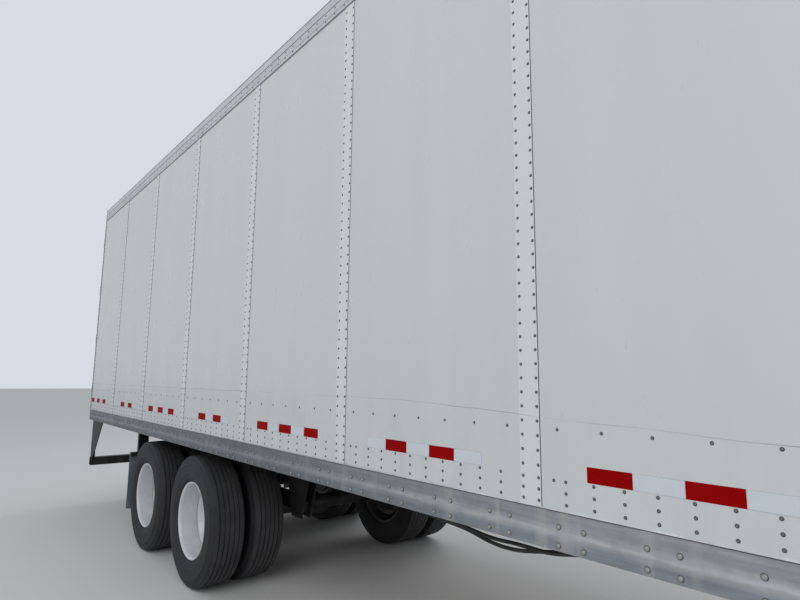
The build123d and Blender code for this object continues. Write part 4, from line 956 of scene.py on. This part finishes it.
# Reflective tape: five blocks a strip, red and white in turn, and the order turns round from plate to plate
tape = {
    "top": 1.37,
    "tall": 0.051,
    "block": 0.1524,
    "thick": 0.0006,
    "gap": 0.0006,
    "blocks": 5,
    "afterSeam": 0.19,
    "firstStart": rearX + 0.055,
    "edge": (0.0012, 0.0008),  # how wide and how thick the clear edge of a white block is
    "slips": {5: (0.0, 0.1505), 6: (-0.009, 0.156)},  # strips stuck on a little off: shift and pitch
}
tapeKinds = ("tape_red", "tape_white")


def tapeFinish(name, bright, deep):
    # film over a fine diamond grid, a little faded and dirty
    material, tree, shader, place = startMaterial(name)
    shader.inputs["Specular IOR Level"].default_value = 0.03
    turned = addNode(tree, "Mapping", {"Vector": place}, {"Rotation": (0, 0.785, 0.0), "Scale": (180,) * 3})
    grid = addNode(tree, "TexChecker", {"Vector": turned.outputs["Vector"]}, {"Scale": 1.0}).outputs["Fac"]
    worn = cloud(tree, place, 22.0, 0.42, 0.75, (1, 1, 1), 6.0)
    colour = mixed(tree, times(tree, grid, 0.35), bright, deep)
    colour = mixed(tree, times(tree, worn, 0.35), colour, deep)
    setLook(tree, shader, colour, ranged(tree, worn, to=(0.45, 0.6)), grid, 0.0001, 0.15)
    return material


def tapeBlock(pitch):
    # a thin flat bar as long as the pitch less the gap
    return bar((pitch - tape["gap"], tape["tall"], tape["thick"]), 0.0003)


finishes["tape_red"] = tapeFinish("tape_red", (0.32, 0.0015, 0.002), (0.24, 0.001, 0.0015))
finishes["tape_white"] = tapeFinish("tape_white", (0.66, 0.695, 0.74), (0.59, 0.63, 0.68))
for hand, side in sides.items():
    blocks = {"tape_red": [], "tape_white": [], "tape_edge": []}
    for k, start in enumerate([tape["firstStart"], *(seams + tape["afterSeam"])]):
        shift, pitch = tape["slips"].get(k, (0.0, tape["block"]))
        for n in range(tape["blocks"]):
            kind = tapeKinds[(n + k) % 2]
            spot = [(start + shift + pitch * (n + 0.5), side * wallFace, tape["top"] - tape["tall"] / 2)]
            blocks[kind].append(stamped(tapeBlock(pitch), spot, (0, side, 0)))
            if kind == "tape_white":
                edge = window((pitch - 0.0008, tape["tall"] - 0.0002), *tape["edge"])
                blocks["tape_edge"].append(stamped(edge, spot, (0, side, 0)))
    for kind, shapes in blocks.items():
        makePiece(f"{kind}_{hand}", joined(shapes), kind)
print("tape laid")


# Doors: a rubber lip seal round each door, hinge bolts, and flanges, pins and lock eyes of the two rods
door = {
    "edges": (0.004, 1.2445),
    "levels": (1.231, 3.782),
    "outerSeal": (0.002, 0.02, 0.004),  # how much smaller than the door, bar width and thickness
    "innerSeal": (0.046, 0.004, 0.0025),
    "hinges": (1.485, 2.166, 2.847, 3.528),
    "strapFace": doorFace - 0.02,
    "strapBolts": (1.068, 1.118, 1.175),
    "strapStep": 0.016,
    "strapHead": (0.0085, 0.0045, 12, 3),
    "rods": (0.9865, 0.3865),
    "guides": (1.285, 2.125, 2.975, 3.728),
    "flange": (0.094, 0.034, 0.003),
    "flangeBolts": 0.036,
    "flangeHead": (0.0065, 0.0045),
    "handles": ((0.9865, 1.661, -1), (0.3865, 1.761, 1)),  # distance out, height and the way it points
    "handleFace": doorFace - 0.056,
    "handleReach": 0.205,
    "pinHead": (0.0105, 0.0036, 14, 3),
    "eye": (0.0055, 0.0125, 0.0035, 14),
}


def doorSeal(inside, wide, thick):
    # a frame round the door's outline, smaller than it by inside
    size = [high - low - inside for low, high in (door["edges"], door["levels"])]
    return window(size, wide, thick)


def boltsAt(face, outs, levels, side, apart=0.0, stacked=0.0):
    # a bolt at each distance out and height, or a pair beside it or above and below it
    ways = (-1, 1) if apart or stacked else (0,)
    return [(face, side * (y + way * apart), z + way * stacked) for y in outs for z in levels for way in ways]


for hand, side in sides.items():
    middle = [(doorFace, side * sum(door["edges"]) / 2, sum(door["levels"]) / 2)]
    seals = [(doorSeal(*door[kind]), middle) for kind in ("outerSeal", "innerSeal")]
    stampPiece(f"door_seal_{hand}", "black_rubber", back, seals, f"door_{hand}")
    straps = boltsAt(door["strapFace"], door["strapBolts"], door["hinges"], side, stacked=door["strapStep"])
    flanges = boltsAt(doorFace, door["rods"], door["guides"], side)
    bolts = boltsAt(doorFace - door["flange"][2], door["rods"], door["guides"], side, door["flangeBolts"])
    pins, eyes = [], []
    for y, z, way in door["handles"]:
        pins.append((door["handleFace"], side * y, z))
        eyes.append((door["handleFace"] - 0.0002, side * (y + way * door["handleReach"]), z))
    stampPiece(f"door_fixings_{hand}", galvanised, back, [
        (dome(*door["strapHead"]), straps),
        (bar(door["flange"], 0.001), flanges),
        (hexHead(*door["flangeHead"]), bolts),
        (dome(*door["pinHead"]), pins),
        (collar(*door["eye"]), eyes),
    ], f"door_{hand}", 0.6)
print("doors trimmed")


# Rear frame: lamp rims, keeper and guard bolts, frame rivets, tape on sill, guard, header and corners
rear = {
    "tail": (0.64, 0.78),
    "tailZ": 1.153,
    "tailRim": (0.0502, 0.06, 0.0062, 28),
    "marks": (-1.17, -0.16, 0.0, 0.16, 1.17),
    "marksZ": 3.883,
    "markRim": (0.0262, 0.033, 0.006, 20),
    "keepers": (1.175, 3.845),
    "keeperFace": rearX - 0.03,
    "keeperBolts": 0.027,
    "keeperHead": (0.0058, 0.004),
    # rows over and under the doors, and columns on the posts
    "rows": (np.arange(-1.2, 1.21, 0.15), (1.212, 3.802)),
    "columns": np.arange(1.3, 3.56, 0.17),
    "frameHead": (0.0052, 0.0024, 8, 2),
    "guardPost": 0.6,
    "guardBolts": ((-0.035, 0.035), (0.64, 0.7, 0.985, 1.045)),
    "guardFace": rearX + 0.03,
    "guardHead": (0.011, 0.0085),
    "guardBar": (rearX + 0.02, 0.54),  # station and height of its tape
    "guardBlocks": 16,
    "sillZ": 1.116,
    "sillBlocks": 7,
    "sillEnd": 0.8976,
    "headerTape": (1.013, 3.94),
    "postMiddle": 1.272,
    "postTapeZ": 3.68,
    "postTape": (0.038, 0.2),
}
tails = [(rearX, s * y, rear["tailZ"]) for s in (1, -1) for y in rear["tail"]]
marks = [(rearX, y, rear["marksZ"]) for y in rear["marks"]]
rims = [(collar(*rear["tailRim"]), tails), (collar(*rear["markRim"]), marks)]
stampPiece("lamp_grommets", "black_rubber", back, rims, smooth=0.7)
keepers = [spot for s in (1, -1)
           for spot in boltsAt(rear["keeperFace"], door["rods"], rear["keepers"], s, rear["keeperBolts"])]
frameSpots = [(rearX, y, z) for y in rear["rows"][0] for z in rear["rows"][1]]
frameSpots += [(rearX, s * rear["postMiddle"], z) for s in (1, -1) for z in rear["columns"]]
fixings = [(hexHead(*rear["keeperHead"]), keepers), (dome(*rear["frameHead"]), frameSpots)]
stampPiece("rear_frame_fixings", galvanised, back, fixings, smooth=0.6)
guardOut, guardZ = rear["guardBolts"]
guardY = [s * rear["guardPost"] + out for s in (1, -1) for out in guardOut]
guardSpots = [(rear["guardFace"], y, z) for y in guardY for z in guardZ]
stampPiece("guard_bolts", "hub_steel", back, [(hexHead(*rear["guardHead"]), guardSpots)], smooth=0.6)
stripes = {kind: [] for kind in tapeKinds}
rows = ((rear["guardBlocks"], *rear["guardBar"]), (rear["sillBlocks"], rearX, rear["sillZ"]))
for count, x, z in rows:
    for n in range(count):
        stripes[tapeKinds[n % 2]].append((x, (n - (count - 1) / 2) * tape["block"], z))
headerY, headerZ = rear["headerTape"]
for s in (1, -1):
    stripes["tape_red"].append((rearX, s * rear["sillEnd"], rear["sillZ"]))
    stripes["tape_white"].append((rearX, s * (rear["sillEnd"] + tape["block"]), rear["sillZ"]))
    stripes["tape_white"] += [(rearX, s * (headerY + step), headerZ) for step in (0.0, tape["block"])]
for kind, places in stripes.items():
    stampPiece(f"rear_{kind}", kind, back, [(tapeBlock(tape["block"]), places)])
postTape = [(rearX, s * rear["postMiddle"], rear["postTapeZ"]) for s in (1, -1)]
cornerTape = bar((*rear["postTape"], tape["thick"]), 0.0003)
stampPiece("rear_corner_tape", "tape_white", back, [(cornerTape, postTape)])
print("rear dressed")


# Front and roof: rivet columns on strips and corners, rows on the rails, and rivets along the roof's edges
front = {
    "stripFace": frontX - 0.0018,
    "strips": (-0.335, 0.335),
    "stripColumns": (-0.028, 0.028),
    "stripSpan": (1.24, 3.81),
    "corner": (1.035, 1.12),
    "cornerX": (frontX - 0.271, frontX - 0.197),
    "cornerSpan": (1.12, 3.95),
    "pitch": 0.0762,
    "railRows": (1.112, 1.18, 3.865, 3.935),
    "railSpan": (-0.96, 0.96),
    "railPitch": 0.096,
    "roofEnd": 7.9,
    "roofY": 1.268,
    "roofHead": (0.0062, 0.0026, 8, 2),
}
stripZ = spread(*front["stripSpan"], front["pitch"])
cornerZ = spread(*front["cornerSpan"], front["pitch"])
railY = spread(*front["railSpan"], front["railPitch"])
stripY = np.add.outer(front["strips"], front["stripColumns"]).ravel()
columns = [crossed([front["stripFace"]], stripZ, y) for y in stripY]
columns += [crossed([frontX], cornerZ, y) for y in mirrored(front["corner"])]
columns += [crossed([frontX], front["railRows"], y) for y in railY]
rivetPiece("front_rivets", "wall_rivet", np.concatenate(columns), forward)
for hand, side in sides.items():
    spots = crossed(front["cornerX"], cornerZ, side * halfWidth)
    rivetPiece(f"corner_rivets_{hand}", "wall_rivet", spots, (0, side, 0))
roofX = spread(-front["roofEnd"], front["roofEnd"], rivets["topPitch"])
roofSpots = np.concatenate([crossed(roofX, [roofTop], y) for y in mirrored(front["roofY"])])
stampPiece("roof_rivets", "top_rail", upward, [(dome(*front["roofHead"]), roofSpots)], smooth=0.9)

# Service couplings: a bolted plate with two stepped cups, and between them a box with a raised lid
service = {
    "foot": frontX - 0.004,
    "level": 1.42,
    "plate": (0.54, 0.196, 0.0025),
    "bolts": ((-0.252, -0.126, 0.126, 0.252), (-0.084, 0.084)),
    "head": (0.0072, 0.0048),
    "cups": (-0.2, 0.2),
    # rings of radius and height, the last one sunk to make the seal's seat
    "cup": [(0.038, 0.0), (0.038, 0.03), (0.033, 0.035), (0.033, 0.046), (0.03, 0.049),
            (0.024, 0.05), (0.022, 0.047)],
    "box": ((0.2, 0.15, 0.045), 0.006),
    "lid": ((0.188, 0.138, 0.054), 0.004),
    "seal": (0.0095, 0.019, 0.0515),
}
plateX, level = front["stripFace"], service["level"]
boltX = plateX + service["plate"][2]
plateSpots = [(boltX, y, level + z) for y in service["bolts"][0] for z in service["bolts"][1]]
stampPiece("service_plate", galvanised, forward, [
    (bar(service["plate"], 0.001), [(plateX, 0.0, level)]),
    (hexHead(*service["head"]), plateSpots),
], smooth=0.6)
cups = [(service["foot"], y, level) for y in service["cups"]]
boxes = [stamped(bar(*service[kind]), [(service["foot"], 0.0, level)], forward) for kind in ("box", "lid")]
couplings = joined([stamped(knob(service["cup"], 28), cups, forward), *boxes])
makePiece("service_couplings", couplings, "fitting_metal", smooth=0.5, replaced=["service_box"])
stampPiece("coupling_seals", "black_rubber", forward, [(collar(*service["seal"], 20), cups)], smooth=0.7)

# Rims of the amber lamps on the side rails
lampRim = {
    "stations": (0.6, frontX - 0.41),
    "levels": ((1.176, 0.003), (3.953, 0.0015)),  # height, and how far in the rail's face lies there
    "size": (0.098, 0.038),
    "wide": 0.004,
    "thick": 0.0045,
}
bezel = window(lampRim["size"], lampRim["wide"], lampRim["thick"])
for hand, side in sides.items():
    spots = [(x, side * (halfWidth - sunk), z) for x in lampRim["stations"] for z, sunk in lampRim["levels"]]
    stampPiece(f"lamp_rims_{hand}", "black_rubber", (0, side, 0), [(bezel, spots)])
print("front and roof riveted")


# Deck screws: two through each board into each cross beam
deck = {
    "boards": 8,
    "half": 1.2758,
    "top": 1.225,
    "firstBeam": rearX + 0.305,
    "beams": 48,
    "pitch": 0.3048,
    "screws": (0.2, 0.8),  # shares of a board's width
    "head": [(0.0056, 0.0), (0.005, 0.0007)],
}
boardWide = 2 * deck["half"] / deck["boards"]
screwY = (-deck["half"] + boardWide * (np.arange(deck["boards"])[:, None] + deck["screws"])).ravel()
beamX = deck["firstBeam"] + deck["pitch"] * np.arange(deck["beams"])
screws = np.concatenate([crossed(beamX, [deck["top"]], y) for y in screwY])
stampPiece("deck_screws", galvanised, upward, [(knob(deck["head"], 6), screws)])


# Axle clamps: two bolts bent under each axle beside each arm, a plate over the arm, and nuts on top
clamp = {
    "arm": 0.565,
    "apart": 0.046,
    "reach": 0.0735,
    "thick": 0.0085,
    "plateFoot": 0.6985,
    "plate": (0.19, 0.125, 0.012),
    "aboveFoot": 0.036,
    "nut": (0.015, 0.015),
}
halfTurn = np.linspace(0, np.pi, 13)
# the bend is half a circle under the axle, with straight legs up past the plate
bend = np.column_stack([-clamp["reach"] * np.cos(halfTurn), axleZ - clamp["reach"] * np.sin(halfTurn)])
legTop = clamp["plateFoot"] + clamp["aboveFoot"]
path = np.concatenate([[(-clamp["reach"], legTop)], bend, [(clamp["reach"], legTop)]])
nutFoot = clamp["plateFoot"] + clamp["plate"][2]
clampParts = []
for x in axleX.values():
    for arm in (clamp["arm"], -clamp["arm"]):
        legs = (arm - clamp["apart"], arm + clamp["apart"])
        nuts = [(x + way * clamp["reach"], y, nutFoot) for way in (-1, 1) for y in legs]
        clampParts += [tube(path + (x, 0), clamp["thick"], 10, y) for y in legs]
        clampParts.append(stamped(bar(clamp["plate"], 0.003), [(x, arm, clamp["plateFoot"])], upward))
        clampParts.append(stamped(hexHead(*clamp["nut"]), nuts, upward))
makePiece("axle_clamps", joined(clampParts), "hub_steel", smooth=0.7)

# Bolts of the mud flaps, each row through a clamping strip
flap = {
    "face": -6.181,
    "level": 0.815,
    "middle": 0.94,
    "strip": (0.56, 0.032, 0.004),
    "bolts": np.linspace(0.69, 1.19, 6),
    "head": (0.0085, 0.0055),
}
strips = [(flap["face"], y, flap["level"]) for y in mirrored(flap["middle"])]
flapSpots = [(flap["face"] - flap["strip"][2], y, flap["level"]) for y in mirrored(flap["bolts"])]
flapParts = [(bar(flap["strip"], 0.001), strips), (hexHead(*flap["head"]), flapSpots)]
stampPiece("flap_bolts", galvanised, back, flapParts, smooth=0.6)

# Bolts of the landing gear: head plates, gearbox cover and the pins of the feet
leg = {
    "x": 4.467,
    "face": 0.945,
    "bolts": ((-0.042, 0.042), (0.94, 1.0, 1.06)),
    "head": (0.01, 0.008),
    "pin": [(0.017, 0.0), (0.017, 0.006), (0.013, 0.008)],
    "pinFace": 0.9445,
    "pinZ": 0.052,
    "boxFace": 1.005,
    "boxZ": 0.8,
    "boxBolts": ((-0.048, 0.048), (-0.066, 0.066)),
    "boxHead": (0.0075, 0.0055),
}
legParts = []
for s in (1, -1):
    spots = crossed(leg["x"] + np.array(leg["bolts"][0]), leg["bolts"][1], s * leg["face"])
    legParts.append(stamped(hexHead(*leg["head"]), spots, (0, s, 0)))
    legParts.append(stamped(knob(leg["pin"], 18), [(leg["x"], s * leg["pinFace"], leg["pinZ"])], (0, s, 0)))
coverX, coverZ = np.array(leg["boxBolts"])
cover = crossed(leg["x"] + coverX, leg["boxZ"] + coverZ, leg["boxFace"])
legParts.append(stamped(hexHead(*leg["boxHead"]), cover, (0, 1, 0)))
makePiece("leg_bolts", joined(legParts), "hub_steel", smooth=0.6)
print("running gear bolted")


# Hubs: cap bolts round a filler plug, and a valve stem on each outer wheel's disc
hub = {
    "capFace": 1.095,
    "boltCircle": 0.06,
    "bolts": 8,
    "head": (0.0058, 0.0045),
    "plug": [(0.02, 0.0), (0.02, 0.003), (0.0165, 0.005), (0.008, 0.006)],
    "valveFace": 1.026,
    "valveCircle": 0.22,
    "stem": [(0.0065, 0.0), (0.0042, 0.006), (0.0042, 0.04), (0.0058, 0.041), (0.0058, 0.054)],
}
for pair, x, side in wheelPairs:
    bolts = ringSpots(x, side * hub["capFace"], hub["boltCircle"], hub["bolts"], 0.5)
    # the valve stands half a step past the second wheel nut
    valve = ringSpots(x, side * hub["valveFace"], hub["valveCircle"], wheel["nuts"], 1.5)[:1]
    stampPiece(f"hub_fixings_{pair}", galvanised, (0, side, 0), [
        (hexHead(*hub["head"]), bolts),
        (knob(hub["plug"], 16), [(x, side * hub["capFace"], axleZ)]),
        (knob(hub["stem"], 8), valve),
    ], f"wheel_{pair}", 0.6)
print("hubs dressed")


# Floor, background and lamps
studio = {
    "floorHalf": 90.0,
    "floor": (0.8, 0.8, 0.79),
    "background": (0.68, 0.71, 0.77),
    "sky": (0.93, 0.96, 1.0),
    "skyStrength": 0.5,
    # name, place, what it points at, size in metres and power in watts
    "lamps": (
        ("key_softbox", (4.0, -11.0, 9.0), (-2.0, 0.0, 1.5), 9.0, 640.0),
        ("fill_softbox", (-8.0, 12.0, 9.0), (0.0, 0.0, 1.5), 10.0, 420.0),
    ),
}


def buildFloor(look):
    corners = look["floorHalf"] * np.array([[-1, -1, 0], [1, -1, 0], [1, 1, 0], [-1, 1, 0]])
    mesh = bpy.data.meshes.new("studio_floor")
    mesh.from_pydata(corners.tolist(), [], [(0, 1, 2, 3)])
    floor = bpy.data.objects.new("studio_floor", mesh)
    scene.collection.objects.link(floor)
    material, tree, shader, place = startMaterial("floor_paper")
    tone = cloud(tree, place, 0.3, 0.2, 0.8)
    shader.inputs["Roughness"].default_value = 0.9
    colour = mixed(tree, tone, look["floor"], tuple(0.985 * c for c in look["floor"]))
    tree.links.new(colour, shader.inputs["Base Color"])
    mesh.materials.append(material)
    floor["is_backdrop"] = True


def buildWorld(look):
    # camera, glossy and transmission rays see the background colour, and only the rest is lit by the sky
    world = bpy.data.worlds.new("studio")
    scene.world = world
    world.use_nodes = True
    tree = world.node_tree
    tree.nodes.clear()
    ray = addNode(tree, "LightPath").outputs
    shown = maths(tree, "MAXIMUM", ray["Is Camera Ray"], ray["Is Glossy Ray"])
    shown = maths(tree, "MAXIMUM", shown, ray["Is Transmission Ray"])
    lit = addNode(tree, "Background", values={"Color": (*look["sky"], 1), "Strength": look["skyStrength"]})
    seen = addNode(tree, "Background", values={"Color": (*look["background"], 1), "Strength": 1.0})
    either = addNode(tree, "MixShader", {0: shown, 1: lit.outputs[0], 2: seen.outputs[0]})
    out = addNode(tree, "OutputWorld")
    tree.links.new(either.outputs[0], out.inputs["Surface"])


def buildLamps(look):
    for name, place, target, size, power in look["lamps"]:
        data = bpy.data.lights.new(name, "AREA")
        data.size, data.energy = size, power
        lamp = bpy.data.objects.new(name, data)
        scene.collection.objects.link(lamp)
        away = Vector(place) - Vector(target)
        lamp.matrix_world = Matrix.Translation(place) @ away.to_track_quat("Z", "Y").to_matrix().to_4x4()


buildFloor(studio)
buildWorld(studio)
buildLamps(studio)
scene.view_settings.view_transform = "Standard"
boxes = {"cad": cadBox, "visual": [[float(x) for x in corner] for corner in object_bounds()]}
print("studio set, boxes", boxes)
